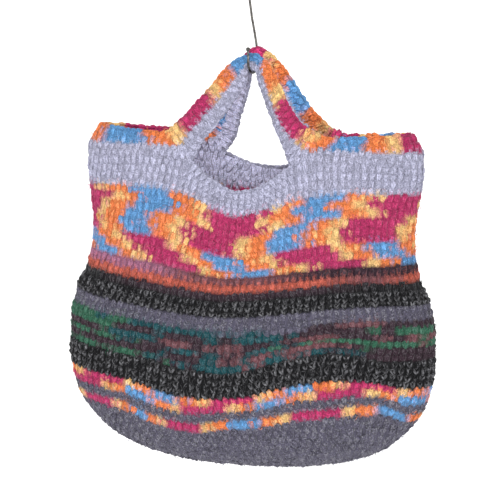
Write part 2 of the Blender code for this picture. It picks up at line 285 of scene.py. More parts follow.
wire_points, wire_radii = hook_route()
wire_curve = bpy.data.curves.new("wire_hook", "CURVE")
wire_curve.dimensions = "3D"
wire_curve.bevel_depth = WIRE_RADIUS
wire_curve.bevel_resolution = WIRE_SIDES
wire_curve.use_fill_caps = True
wire_line = wire_curve.splines.new("POLY")
wire_line.points.add(len(wire_points) - 1)
for point, place, radius in zip(wire_line.points, wire_points, wire_radii):
    point.co = (*place, 1.0)
    point.radius = radius
wire_curve.materials.append(steel_material())
wire_hook = add_object("wire_hook", wire_curve)
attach(wire_hook, "root")
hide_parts("hook")

# The cloth: one piece of felted crochet, worked in rounds from a chain along the bottom. Its last rounds
# run up over the ears and, past the two hand holes, over the handles. This is the matted ground that
# shows between the stitches: a closed sheet in the colours of the rounds, darkened with painted shade for
# the crevices between them.
CLOTH = 5.5 * MM
GROUND_THICKNESS = 3.2 * MM
OUTLINE_SAMPLES = 240
SECTION_COLUMNS = ("along", "half_width", "front", "back", "end_height", "middle_height", "boxiness")
SECTIONS = np.array((
    (0.0, 110.0, 0.0, 0.0, 12.5, 0.0, 2.0),
    (20.0, 131.0, 19.8, 19.8, 20.0, 2.8, 2.0),
    (34.0, 142.0, 32.5, 32.5, 26.0, 9.0, 2.1),
    (47.6, 153.0, 43.0, 43.0, 34.0, 18.5, 2.1),
    (61.0, 162.0, 50.0, 50.0, 43.0, 30.5, 2.2),
    (74.8, 170.5, 54.5, 54.5, 52.5, 44.5, 2.2),
    (88.0, 177.5, 57.0, 57.0, 62.5, 57.5, 2.3),
    (102.0, 183.0, 58.5, 58.5, 76.0, 72.0, 2.3),
    (120.0, 187.0, 59.5, 59.5, 96.0, 91.0, 2.3),
    (145.0, 188.0, 59.5, 59.5, 121.5, 116.0, 2.3),
    (175.0, 187.0, 58.5, 57.5, 151.0, 146.0, 2.3),
    (197.0, 181.0, 57.0, 55.0, 174.0, 168.0, 2.2),
    (213.0, 173.5, 55.5, 53.0, 190.0, 184.0, 2.2),
    (235.0, 168.0, 54.0, 51.0, 212.0, 207.0, 2.1),
    (262.0, 166.0, 51.5, 48.0, 240.5, 240.0, 2.1),
    (291.0, 170.0, 49.5, 45.5, 273.0, 275.0, 2.0),
    (308.0, 172.0, 47.5, 44.0, 289.0, 293.0, 2.0),
    (325.0, 172.5, 45.0, 42.0, 306.0, 312.0, 2.0),
))
END_LIFT_POWER = 2.6
UNEVEN_DROP = 5.0
UNEVEN_FULL_ALONG = 80.0
UNEVEN_FADES_ALONG = (200.0, 280.0)
SAG_DEPTH = 18.0
SAG_HALF_WIDTH = 46.0
SAG_STARTS_ALONG = 205.0
SAG_FULL_ALONG = 291.0
SLIT_ALONG = 325.0
FRONT_SLIT_ENDS = (-53.0, 52.0)
BACK_SLIT_ENDS = (-43.0, 59.0)
LIP_DIP = 14.0
LIP_BULGE = 3.0
COLUMNS_PER_EAR = 7
COLUMNS_PER_LIP = 12
COLUMNS_PER_FACE = 2 * COLUMNS_PER_EAR + COLUMNS_PER_LIP
WALL_COLUMNS = 2 * COLUMNS_PER_FACE
TOP_HALF_WIDTH = 160.5
TOP_HALF_DEPTH = 35.0
TOP_HEIGHT = 340.0
TOP_DIP = 5.0
TOP_ROOT_PAST_SLIT = 28.0
MIDDLE_HALF_WIDTH = 171.0
MIDDLE_HALF_DEPTH = 40.5
MIDDLE_HEIGHT = 324.0
MIDDLE_ROOT_PAST_SLIT = 13.0
EAR_BOXINESS = 2.0
FRONT_HANDLE = (
    ((-43.0, -38.0, 328.0), (-54.0, -37.0, 339.0), (-66.0, -32.0, 347.0)),
    ((-31.0, -32.0, 345.0), (-41.0, -32.0, 355.0), (-51.0, -29.0, 364.0)),
    ((-20.0, -25.0, 361.0), (-29.0, -26.0, 371.0), (-37.5, -24.0, 380.0)),
    ((-11.5, -16.0, 377.0), (-19.5, -18.0, 386.5), (-27.5, -17.0, 395.0)),
    ((-6.5, -8.5, 389.5), (-11.5, -10.5, 398.0), (-17.0, -9.8, 406.0)),
    ((-6.0, -4.6, 400.2), (-6.6, -4.9, 406.0), (-7.6, -4.5, 411.5)),
    ((0.5, -3.4, 400.0), (0.5, -3.6, 407.0), (0.5, -3.4, 413.5)),
    ((5.0, -4.4, 397.0), (6.5, -5.4, 403.0), (8.5, -5.0, 409.5)),
    ((8.5, -6.8, 388.0), (12.5, -10.5, 395.0), (17.0, -10.2, 402.5)),
    ((13.5, -10.0, 375.0), (19.5, -16.5, 381.0), (27.0, -16.5, 389.5)),
    ((20.0, -14.0, 362.0), (26.5, -23.5, 367.0), (36.0, -23.5, 375.0)),
    ((28.0, -20.0, 347.0), (35.0, -30.0, 352.0), (45.0, -29.0, 361.0)),
    ((37.5, -29.0, 331.0), (46.5, -36.0, 338.0), (57.0, -32.5, 347.5)),
)
BACK_HANDLE = (
    ((-32.0, 38.0, 326.0), (-45.0, 38.5, 335.0), (-59.0, 33.0, 343.5)),
    ((-26.5, 34.0, 338.5), (-39.0, 36.0, 347.0), (-51.0, 31.5, 355.5)),
    ((-22.0, 28.0, 352.0), (-33.0, 30.5, 361.0), (-43.0, 26.5, 370.0)),
    ((-15.5, 21.0, 367.0), (-24.5, 23.5, 376.5), (-33.0, 20.0, 385.0)),
    ((-8.5, 12.0, 383.5), (-15.0, 14.5, 393.0), (-22.0, 12.5, 401.5)),
    ((-4.5, 4.8, 399.0), (-6.5, 5.4, 405.5), (-9.0, 4.8, 412.5)),
    ((2.0, 3.4, 400.0), (2.0, 3.8, 410.0), (2.0, 3.4, 420.0)),
    ((7.5, 5.2, 395.0), (11.0, 5.6, 404.0), (14.5, 4.8, 414.0)),
    ((12.5, 10.5, 382.0), (19.5, 11.5, 392.0), (26.0, 9.8, 401.5)),
    ((19.0, 16.5, 367.0), (27.5, 17.5, 377.5), (35.5, 15.5, 387.0)),
    ((26.0, 23.0, 352.0), (35.5, 24.0, 362.5), (45.0, 21.0, 370.5)),
    ((35.5, 30.0, 336.0), (45.5, 31.0, 346.5), (56.0, 27.0, 355.5)),
    ((47.0, 36.0, 321.0), (59.0, 36.5, 331.5), (71.0, 31.0, 341.5)),
)


def smooth_step(value, low, high):
    """0 below low, 1 above high, and an easy change between them."""
    t = np.clip((value - low) / (high - low), 0.0, 1.0)
    return t * t * (3.0 - 2.0 * t)


def half_outline(half_width, half_depth, boxiness, fraction):
    """(x, y) at a fraction of the way, by length, along half a rounded outline, left end to right end."""
    angle = np.linspace(0.0, math.pi, OUTLINE_SAMPLES)
    power = 2.0 / boxiness
    x = -np.sign(np.cos(angle)) * np.abs(np.cos(angle)) ** power * half_width
    y = np.abs(np.sin(angle)) ** power * half_depth
    length = np.concatenate(([0.0], np.cumsum(np.hypot(np.diff(x), np.diff(y)))))
    length /= length[-1]
    return np.interp(fraction, length, x), np.interp(fraction, length, y)


def section(along):
    """The sizes of the round at this length of cloth, in millimetres, on a curve through the table."""
    at = SECTIONS[:, 0]
    slopes = np.gradient(SECTIONS[:, 1:], at, axis=0)
    k = int(np.clip(np.searchsorted(at, along) - 1, 0, len(at) - 2))
    step = at[k + 1] - at[k]
    t = (along - at[k]) / step
    values = (
        (2 * t**3 - 3 * t**2 + 1) * SECTIONS[k, 1:]
        + (t**3 - 2 * t**2 + t) * step * slopes[k]
        + (3 * t**2 - 2 * t**3) * SECTIONS[k + 1, 1:]
        + (t**3 - t**2) * step * slopes[k + 1]
    )
    return dict(zip(SECTION_COLUMNS[1:], values))


def wall_round(along, shares):
    """The middle of the cloth at one length: the front from left to right, and the back likewise."""
    size = section(along)
    half_width = size["half_width"] - CLOTH / MM / 2
    faces = []
    for name in ("front", "back"):
        half_depth = max(size[name] - CLOTH / MM / 2, 0.0)
        x, y = half_outline(half_width, half_depth, size["boxiness"], shares)
        across = x / half_width
        lift = (size["end_height"] - size["middle_height"]) * np.abs(across) ** END_LIFT_POWER
        height = size["middle_height"] + lift
        if name == "front":
            sag = smooth_step(along, SAG_STARTS_ALONG, SAG_FULL_ALONG) * SAG_DEPTH
            uneven = smooth_step(along, 0.0, UNEVEN_FULL_ALONG) - smooth_step(along, *UNEVEN_FADES_ALONG)
            height = height - sag * np.exp(-((x / SAG_HALF_WIDTH) ** 2))
            height = height + uneven * UNEVEN_DROP * np.sin(math.pi * across)
            y = -y
        faces.append(np.stack((x, y, height + CLOTH / MM / 2), axis=-1))
    return faces


# The whole wall worked out once on a fine net: its turns run from the left end over the front to the
# right end, at 0.5, and back over the back.
NET_TURNS = 240
net_shares = np.linspace(0.0, 1.0, NET_TURNS + 1)
wall_net = []
for along in np.arange(0.0, SLIT_ALONG + 1.0):
    front_face, back_face = wall_round(along, net_shares)
    wall_net.append(np.concatenate((front_face, back_face[::-1][1:])))
wall_net = np.array(wall_net)


def on_wall(along, turn):
    """Points in the middle of the cloth, in millimetres above the bottom."""
    a = np.clip(along, 0.0, SLIT_ALONG - 1e-6)
    t = np.mod(turn, 1.0) * 2 * NET_TURNS
    a0, t0 = np.floor(a).astype(int), np.floor(t).astype(int)
    fa, ft = (a - a0)[..., None], (t - t0)[..., None]
    t1 = np.minimum(t0 + 1, 2 * NET_TURNS)
    low = wall_net[a0, t0] * (1 - ft) + wall_net[a0, t1] * ft
    high = wall_net[a0 + 1, t0] * (1 - ft) + wall_net[a0 + 1, t1] * ft
    return low * (1 - fa) + high * fa


def share_at(half_width, half_depth, boxiness, x):
    """The share of half a rounded outline, by length, between its left end and this x."""
    shares = np.linspace(0.0, 1.0, OUTLINE_SAMPLES)
    xs, _ = half_outline(half_width, half_depth, boxiness, shares)
    return float(np.interp(x, xs, shares))


slit_section = section(SLIT_ALONG)
slit_turns, slit_across = [], []
for half_start, face, (left, right) in (
    (0.0, "front", FRONT_SLIT_ENDS),
    (0.5, "back", (-BACK_SLIT_ENDS[1], -BACK_SLIT_ENDS[0])),
):
    slit_outline = (
        slit_section["half_width"] - CLOTH / MM / 2,
        slit_section[face] - CLOTH / MM / 2,
        slit_section["boxiness"],
    )
    first = share_at(*slit_outline, left) / 2
    last = share_at(*slit_outline, right) / 2
    for k in range(COLUMNS_PER_FACE):
        if k <= COLUMNS_PER_EAR:
            slit_turns.append(half_start + first * k / COLUMNS_PER_EAR)
        elif k <= COLUMNS_PER_EAR + COLUMNS_PER_LIP:
            share = (k - COLUMNS_PER_EAR) / COLUMNS_PER_LIP
            slit_turns.append(half_start + first + (last - first) * share)
        else:
            share = (k - COLUMNS_PER_EAR - COLUMNS_PER_LIP) / COLUMNS_PER_EAR
            slit_turns.append(half_start + last + (0.5 - last) * share)
        slit_across.append(min(abs(2 * (k - COLUMNS_PER_EAR) / COLUMNS_PER_LIP - 1), 1.0))
slit_turns.append(1.0)
slit_across.append(1.0)

# The rounds: how much cloth each takes, and how the stripes rise and fall across the front. In each row
# of the wave table, the first number is a round and the rest say how many millimetres it hangs below its
# even place, at these distances across the bag.
ROUND_HEIGHT = 7.2
WALL_ROUNDS = 45
BAND_ROUNDS = 4
WAVE_ACROSS = (-165, -115, -90, -65, -38, -13, 15, 42, 67, 92, 117, 142, 165)
WAVES = (
    (4.0, 0, 0, 0, 0, 0, 0, 0, 0, 0, 0, 0, 0, 0),
    (12.0, -4, -6, 3, 8, 10.5, 7, 6.5, 3.5, -2, -4, -8.5, -10.5, 0),
    (19.5, -4, -4, -4, 3, 6, 10, 7, -1, -6, -10, -8.5, -2.5, -3.5),
    (24.5, -4.5, -4, -3, 0, 2.5, 4, 4.5, 3, 1, -2, -4.5, -6, -6),
    (30.5, -3, -3.5, -3, -0.5, 3, 6, 6, 4.5, 3, 0, -1.5, -2, -2.5),
    (41.0, 0, 0, 0, 2, 5, 6, 6, 4, 2, 0, -1, -2, -3),
    (45.0, 0, 0, 0, 0, 0, 0, 0, 0, 0, 0, 0, 0, 0),
)
wave_rounds = np.array([row[0] for row in WAVES])
wave_depths = np.array([row[1:] for row in WAVES], dtype=float)


def wave(round_number, across):
    """How far below its even place a round hangs, in millimetres, at a distance across the bag."""
    r = np.clip(round_number, wave_rounds[0], wave_rounds[-1] - 1e-6)
    k = np.clip(np.searchsorted(wave_rounds, r, side="right") - 1, 0, len(wave_rounds) - 2)
    t = smooth_step(r, wave_rounds[k], wave_rounds[k + 1])
    depths = np.stack([np.interp(across, WAVE_ACROSS, row) for row in wave_depths])
    spot = np.arange(depths.shape[-1]) if depths.ndim == 2 else None
    return depths[k, spot] * (1 - t) + depths[k + 1, spot] * t


def wall_points(round_number, place):
    """Points of the wall in metres. Rounds are counted from the bottom; place runs once round the bag."""
    round_number, place = np.broadcast_arrays(np.asarray(round_number, float), np.asarray(place, float))
    shape = place.shape
    round_number, place = round_number.ravel(), np.mod(place.ravel(), 1.0)
    even = round_number * ROUND_HEIGHT
    columns = np.arange(WALL_COLUMNS + 1) / WALL_COLUMNS
    slit_turn = np.interp(place, columns, slit_turns)
    inside = 1.0 - np.interp(place, columns, slit_across) ** 2
    lean = smooth_step(even, 0.0, SLIT_ALONG)
    turn = place + (slit_turn - place) * lean
    rough = on_wall(even, turn)
    along = even - wave(round_number, rough[:, 0])
    along = np.clip(along * SLIT_ALONG / (WALL_ROUNDS * ROUND_HEIGHT), 0.0, SLIT_ALONG)
    near_lip = smooth_step(along, SAG_FULL_ALONG, SLIT_ALONG) * inside
    points = on_wall(along - LIP_DIP * near_lip, turn)
    points[:, 1] += np.where(turn > 0.5, 1.0, -1.0) * LIP_BULGE * near_lip
    points[:, 2] -= BAG_BELOW_EYE / MM
    return (points * MM).reshape(*shape, 3)


def ear_edge(half_width, half_depth, root_x, fraction):
    """(x, y) of a round over an ear, both positive. fraction is 0 at the fold and 1 at the handle's root."""
    outline = (half_width - CLOTH / MM / 2, half_depth - CLOTH / MM / 2, EAR_BOXINESS)
    x, y = half_outline(*outline, fraction * share_at(*outline, -root_x))
    return -x, y


# The band above the wall: stations in order round the bag, over an ear, a handle and the next ear on
# each face. Each has a middle and a top point, and its place on the wall, or its own bottom point.
station_places, station_bottoms, station_middles, station_tops = [], [], [], []
for face, (handle, signs, ends) in enumerate((
    (FRONT_HANDLE, (-1, -1), FRONT_SLIT_ENDS),
    (tuple(reversed(BACK_HANDLE)), (1, 1), tuple(reversed(BACK_SLIT_ENDS))),
)):
    for k in range(COLUMNS_PER_FACE):
        on_first_ear = k <= COLUMNS_PER_EAR
        if not on_first_ear and k < COLUMNS_PER_EAR + COLUMNS_PER_LIP:
            continue
        fraction = k / COLUMNS_PER_EAR if on_first_ear else (COLUMNS_PER_FACE - k) / COLUMNS_PER_EAR
        sign_x = signs[0] if on_first_ear else -signs[0]
        slit_end = abs(ends[0] if on_first_ear else ends[1])
        place = (face * COLUMNS_PER_FACE + k) / WALL_COLUMNS
        middle = ear_edge(MIDDLE_HALF_WIDTH, MIDDLE_HALF_DEPTH, slit_end + MIDDLE_ROOT_PAST_SLIT, fraction)
        top = ear_edge(TOP_HALF_WIDTH, TOP_HALF_DEPTH, slit_end + TOP_ROOT_PAST_SLIT, fraction)
        top_height = TOP_HEIGHT - TOP_DIP * math.sin(math.pi / 2 * fraction)
        station_places.append(place)
        station_bottoms.append(wall_points(float(WALL_ROUNDS), place))
        station_middles.append(metres_above_bottom((sign_x * middle[0], signs[1] * middle[1], MIDDLE_HEIGHT)))
        station_tops.append(metres_above_bottom((sign_x * top[0], signs[1] * top[1], top_height)))
        if k == COLUMNS_PER_EAR:
            for bottom_point, middle_point, top_point in handle:
                station_places.append(None)
                station_bottoms.append(metres_above_bottom(bottom_point))
                station_middles.append(metres_above_bottom(middle_point))
                station_tops.append(metres_above_bottom(top_point))
STATIONS = len(station_places)
station_curves = [np.array(points) for points in (station_bottoms, station_middles, station_tops)]


def on_curve(points, station):
    """Points on a smooth closed curve through a list of points."""
    k = np.floor(station).astype(int)
    t = (station - k)[:, None]
    before, start, end, after = (points[(k + step) % len(points)] for step in (-1, 0, 1, 2))
    return 0.5 * (
        2 * start
        + (end - before) * t
        + (2 * before - 5 * start + 4 * end - after) * t**2
        + (3 * start - before - 3 * end + after) * t**3
    )


def band_points(share, station):
    """Points of the band in metres. share is 0 at the wall or the hand hole and 1 at the top edge."""
    share, station = np.broadcast_arrays(np.asarray(share, float), np.asarray(station, float))
    shape = station.shape
    share, station = share.ravel()[:, None], np.mod(station.ravel(), STATIONS)
    bottom, middle, top = (on_curve(points, station) for points in station_curves)
    k = np.floor(station).astype(int)
    for i in range(len(station)):
        here, after = station_places[k[i]], station_places[(k[i] + 1) % STATIONS]
        if here is not None and after is not None:
            after = after if after > here else 1.0
            bottom[i] = wall_points(float(WALL_ROUNDS), here + (after - here) * (station[i] - k[i]))
    points = (
        bottom * (1 - share) * (1 - 2 * share)
        + middle * 4 * share * (1 - share)
        + top * share * (2 * share - 1)
    )
    return points.reshape(*shape, 3)


# The yarns, as the colour of their wool in linear light: lavender, slate and black for the plain stripes,
# the colours of the self-striping yarn, and those of the yarn in the mixed rows.
def linear(hex_colour):
    """A colour written as in a paint chart, in linear light."""
    parts = [int(hex_colour[k : k + 2], 16) / 255 for k in (0, 2, 4)]
    return np.array([part / 12.92 if part < 0.04045 else ((part + 0.055) / 1.055) ** 2.4 for part in parts])


YARNS = {
    "lavender": linear("9E9EB3"),
    "crimson": linear("A62C5B"),
    "orange": linear("D67541"),
    "yellow": linear("D9B275"),
    "blue": linear("588BBB"),
    "black": linear("131316"),
    "slate": linear("575465"),
    "coral": linear("B15544"),
    "mauve": linear("935E79"),
    "maroon": linear("31202A"),
    "teal": linear("0C454C"),
    "green": linear("2A5C46"),
    "rose_brown": linear("694046"),
}
# The stripes from the bottom up: the round where each ends, how many rows of stitches it has, how far they
# stand out, how strongly they are flecked, and by how many millimetres their colours stray
STRIPE_COLUMNS = ("name", "top_round", "rows", "relief", "fleck", "scatter")
STRIPES = (
    ("base", 11.45, 12, 0.56, 0.75, 3.0),
    ("thin_row", 12.55, 1, 0.48, 0.0, 3.0),
    ("low_grey", 14.0, 2, 0.52, 0.75, 3.0),
    ("bright_rows", 16.0, 2, 0.50, 0.0, 3.0),
    ("low_black", 19.5, 4, 1.15, 0.85, 3.0),
    ("mixed_rows", 24.5, 6, 0.72, 0.25, 3.0),
    ("upper_grey", 26.5, 2, 0.54, 0.75, 3.0),
    ("upper_black", 28.7, 3, 1.15, 0.85, 3.0),
    ("maroon_row", 29.9, 1, 0.60, 0.3, 8.0),
    ("coral_row", 31.0, 1, 0.60, 0.1, 8.0),
    ("mauve_row", 32.2, 1, 0.60, 0.1, 8.0),
    ("wide_band", 41.0, 9, 0.42, 0.12, 6.0),
    ("lavender_wall", 45.0, 4, 0.62, 0.0, 3.0),
)
rounds = []
bottom_round = 0.0
for values in STRIPES:
    stripe = dict(zip(STRIPE_COLUMNS, values))
    height = stripe["top_round"] - bottom_round
    for k in range(stripe["rows"]):
        rounds.append({
            "stripe": stripe["name"],
            "row": k,
            "low": bottom_round + height * k / stripe["rows"],
            "high": bottom_round + height * (k + 1) / stripe["rows"],
            "relief": stripe["relief"],
            "fleck": stripe["fleck"],
            "scatter": stripe["scatter"] * MM,
        })
    bottom_round = stripe["top_round"]

# One repeat of the self-striping yarn, from the middle of one crimson stretch to the middle of the next:
# where each colour ends, and the colour
REPEAT = (
    (0.175, "crimson"),
    (0.255, "yellow"),
    (0.390, "orange"),
    (0.605, "blue"),
    (0.745, "orange"),
    (0.825, "yellow"),
    (1.000, "crimson"),
)
REPEAT_BLEND = 0.035
# Where the middles of the crimson stretches lie on the front, in millimetres round the bag from the
# middle of the front, row by row from the bottom of each stripe
CRIMSON_AT = {
    ("thin_row", 0): (-146, -59, 83),
    ("bright_rows", 0): (-170, -31, 106),
    ("bright_rows", 1): (-142, -1, 137),
    ("wide_band", 0): (-70, 101),
    ("wide_band", 1): (-87, 74),
    ("wide_band", 2): (-102, 66),
    ("wide_band", 3): (-32, 132),
    ("wide_band", 4): (-36, 130),
    ("wide_band", 5): (-30, 140),
    ("wide_band", 6): (-190, 4, 168),
    ("wide_band", 7): (-167, -11, 157),
    ("wide_band", 8): (-197, 1, 176),
}
USUAL_REPEAT = 155.0


def repeat_colour(phase):
    """The self-striping yarn's colour; whole numbers are the middles of its crimson stretches."""
    phase = np.mod(phase, 1.0)
    colour = np.tile(YARNS["crimson"], (len(phase), 1))
    for (end, name), (_, after) in zip(REPEAT, REPEAT[1:]):
        t = smooth_step(phase, end - REPEAT_BLEND / 2, end + REPEAT_BLEND / 2)[:, None]
        colour = colour * (1 - t) + YARNS[after] * t
    return colour


def crimson_phase(anchors, length):
    """The yarn's phase at a length round the bag, so that it is whole at each anchor."""
    anchors = np.array(anchors, float)
    numbers = np.arange(len(anchors), dtype=float)
    phase = np.interp(length, anchors, numbers)
    phase = np.where(length < anchors[0], (length - anchors[0]) / USUAL_REPEAT, phase)
    return np.where(length > anchors[-1], numbers[-1] + (length - anchors[-1]) / USUAL_REPEAT, phase)


# The other rows of more than one colour: their yarns from the left side over the middle to the right
CHART_ACROSS = (-160, -100, -40, 20, 80, 130, 165)
CHARTED_ROWS = {
    ("mixed_rows", 0): ("green", "green", "teal", "teal", "teal", "maroon", "maroon"),
    ("mixed_rows", 1): ("maroon", "maroon", "maroon", "rose_brown", "rose_brown", "maroon", "maroon"),
    ("mixed_rows", 2): ("green", "maroon", "teal", "teal", "green", "green", "green"),
    ("mixed_rows", 3): ("maroon", "teal", "rose_brown", "maroon", "rose_brown", "maroon", "rose_brown"),
    ("mixed_rows", 4): ("green", "maroon", "maroon", "teal", "maroon", "maroon", "green"),
    ("mixed_rows", 5): ("green", "teal", "teal", "slate", "maroon", "rose_brown", "maroon"),
    ("maroon_row", 0): ("black", "maroon", "maroon", "maroon", "maroon", "black", "black"),
    ("coral_row", 0): ("coral", "coral", "coral", "coral", "coral", "rose_brown", "coral"),
    ("mauve_row", 0): ("mauve", "mauve", "rose_brown", "rose_brown", "maroon", "maroon", "maroon"),
}
charts = {row: np.array([YARNS[name] for name in names]) for row, names in CHARTED_ROWS.items()}

# The stripes in one plain yarn
PLAIN = {
    "base": "slate",
    "low_grey": "slate",
    "low_black": "black",
    "upper_grey": "slate",
    "upper_black": "black",
    "lavender_wall": "lavender",
}

# The mixed yarn changes colour at short spells: how long one is, in millimetres, how many there are in a
# round, the share of them that take the next row's colour, and how many mixed rows there are
MIXED_SPELL = 8.0
MIXED_SPELLS = 110
MIXED_STRAY = 0.2
MIXED_COUNT = 6
mixed_chart = np.array([charts["mixed_rows", row] for row in range(MIXED_COUNT)])


def read_colours(at, marks, colours):
    """Colours at places between marks, from those at the marks."""
    return np.stack([np.interp(at, marks, colours[:, k]) for k in range(3)], axis=-1)


def mixed_colour(row, length, across):
    """The mixed yarn's colour: each short spell has one of the two yarns charted on either side of it."""
    draw = np.random.default_rng(row)
    spell = np.floor(np.mod(length / MIXED_SPELL, MIXED_SPELLS)).astype(int)
    chance = draw.random(MIXED_SPELLS)[spell]
    strays = draw.random(MIXED_SPELLS)[spell] < MIXED_STRAY
    column = np.interp(across, CHART_ACROSS, np.arange(len(CHART_ACROSS)))
    column = np.minimum(np.floor(column + chance).astype(int), len(CHART_ACROSS) - 1)
    return mixed_chart[np.where(strays, (row + 1) % MIXED_COUNT, row), column]


def round_colour(stripe, row, length, across):
    """The colour of a round at these lengths round the bag, in millimetres, and distances across it."""
    if stripe in PLAIN:
        return np.tile(YARNS[PLAIN[stripe]], (len(length), 1))
    if stripe == "mixed_rows":
        return mixed_colour(row, length, across)
    if (stripe, row) in charts:
        return read_colours(across, CHART_ACROSS, charts[stripe, row])
    return repeat_colour(crimson_phase(CRIMSON_AT[stripe, row], length))


def step_lengths(line):
    """The distance from each point of a closed line to the next."""
    return np.linalg.norm(np.diff(line, axis=0, append=line[:1]), axis=1)


def lengths_from_front(points):
    """How far round the bag each point of a closed round lies from the middle of the front, in mm."""
    steps = step_lengths(points) / MM
    length = np.concatenate(([0.0], np.cumsum(steps)[:-1]))
    total = steps.sum()
    middle = int(np.argmin(np.abs(points[:, 0]) + (points[:, 1] > 0)))
    return np.mod(length - length[middle] + total / 2, total) - total / 2


# The edging's colours follow the rim, over the front from left to right and then over the back from right
# to left. Each mark is a number of repeats, whole in the middle of a crimson stretch and a half in the
# middle of a blue one; the side of the bag; and the distance across it.
EDGING_MARKS = (
    (0.0, -1, -53.0),
    (0.5, -1, -9.0),
    (1.0, -1, 53.0),
    (2.0, -1, 160.0),
    (3.0, 1, 95.0),
    (4.0, 1, -7.0),
    (5.0, 1, -118.0),
)
EDGING_REPEATS = 6.0
# On the edging a crimson stretch reaches the first share of a repeat to each side, not the second as usual
EDGING_CRIMSON = (0.14, 0.175)
RIM_SAMPLES = 12
OTHER_SIDE = 1000.0
rim_stations = np.arange(STATIONS * RIM_SAMPLES) / RIM_SAMPLES
rim_line = band_points(1.0, rim_stations)
rim_length = np.concatenate(([0.0], np.cumsum(step_lengths(rim_line))))
rim_marks = []
for phase, side, x in EDGING_MARKS:
    off = np.abs(rim_line[:, 0] / MM - x) + np.where(np.sign(rim_line[:, 1]) == side, 0.0, OTHER_SIDE)
    rim_marks.append((rim_length[int(np.argmin(off))], phase))


def edging_colour(station):
    """The edging's colour at stations along the band."""
    length = np.interp(np.mod(station, STATIONS), np.append(rim_stations, STATIONS), rim_length)
    total = rim_length[-1]
    marks = [
        (at + lap * total, phase + lap * EDGING_REPEATS)
        for lap in (-1, 0, 1)
        for at, phase in rim_marks
    ]
    phase = np.mod(np.interp(length, *np.array(marks).T), 1.0)
    here, usual = EDGING_CRIMSON
    return repeat_colour(np.interp(phase, (0.0, here, 1.0 - here, 1.0), (0.0, usual, 1.0 - usual, 1.0)))


# The lower part of the band is lavender. The ground's colour is darkened with painted shade in the crevices
# between the stitches, and the inside of the cloth is brightened with painted light, up to nearly white.
LAVENDER_SHARE = 0.5
CREVICE_PAINTED_SHADE = 0.72
INNER_PAINTED_LIGHT = 1.7
BRIGHTEST = 0.80
GROUND_STEPS_PER_COLUMN = 4
GROUND_STEPS_PER_ROUND = 2
BAND_ROWS = 8


def with_painted_inner_light(colours):
    """The same colours brightened with painted light for the inside of the cloth, up to nearly white."""
    return colours * np.minimum(INNER_PAINTED_LIGHT, BRIGHTEST / colours.max(axis=1))[:, None]


ATTRIBUTE_FIELDS = {"FLOAT": "value", "FLOAT_VECTOR": "vector", "FLOAT_COLOR": "color"}


def add_values(mesh, name, kind, values):
    """An attribute on a mesh's points: numbers, vectors, or colours without their alpha."""
    values = np.array(values, dtype=float)
    if kind == "FLOAT_COLOR":
        values = np.concatenate((values, np.ones((len(values), 1))), axis=1)
    layer = mesh.attributes.new(name, kind, "POINT")
    layer.data.foreach_set(ATTRIBUTE_FIELDS[kind], values.astype(np.float32).ravel())


# How thickly the hairs stand on each stripe, as a share of the thickest
FLUFF = {
    "wide_band": 1.0,
    "edging": 1.0,
    "bright_rows": 1.0,
    "mixed_rows": 0.6,
    "low_black": 0.2,
    "upper_black": 0.2,
}
USUAL_FLUFF = 0.5


def round_at(level):
    """The round of stitches that a level of the wall lies in."""
    return next((row for row in rounds if row["low"] <= level < row["high"]), rounds[-1])


def ground_colours(levels, places):
    """The ground's colour on the wall, one row of the net after another."""
    colours = []
    for level in levels:
        points = wall_points(level, places)
        home = round_at(level)
        length = lengths_from_front(points)
        colours.append(round_colour(home["stripe"], home["row"], length, points[:, 0] / MM))
    return np.array(colours)


def join_rings(mesh, lower, upper):
    """A strip of faces between two closed rings of points."""
    for k in range(len(lower)):
        after = (k + 1) % len(lower)
        mesh.faces.new((lower[k], lower[after], upper[after], upper[k]))


wall_places = np.arange(WALL_COLUMNS * GROUND_STEPS_PER_COLUMN) / (WALL_COLUMNS * GROUND_STEPS_PER_COLUMN)
wall_levels = np.linspace(0.0, WALL_ROUNDS, WALL_ROUNDS * GROUND_STEPS_PER_ROUND + 1)
band_shares = np.linspace(0.0, 1.0, BAND_ROWS + 1)
band_stations = np.arange(STATIONS * GROUND_STEPS_PER_COLUMN) / GROUND_STEPS_PER_COLUMN
cloth_mesh = bmesh.new()
cloth_colours = []
cloth_fluff = []
wall_net_points = wall_points(wall_levels[:, None], wall_places[None, :])
wall_net_colours = ground_colours(wall_levels, wall_places)
wall_verts = []
for level, row, colours in zip(wall_levels, wall_net_points, wall_net_colours):
    wall_verts.append([cloth_mesh.verts.new(point) for point in row])
    cloth_colours.extend(colours)
    cloth_fluff.extend([FLUFF.get(round_at(level)["stripe"], USUAL_FLUFF)] * len(row))
for lower, upper in zip(wall_verts, wall_verts[1:]):
    join_rings(cloth_mesh, lower, upper)


def wall_column_of(station_step):
    """The wall's column that a step of the band stands on, or None on a handle."""
    k, part = divmod(station_step, GROUND_STEPS_PER_COLUMN)
    here = station_places[k % STATIONS]
    after = station_places[(k + 1) % STATIONS]
    if here is None or (part and after is None):
        return None
    return (round(here * WALL_COLUMNS) * GROUND_STEPS_PER_COLUMN + part) % len(wall_places)


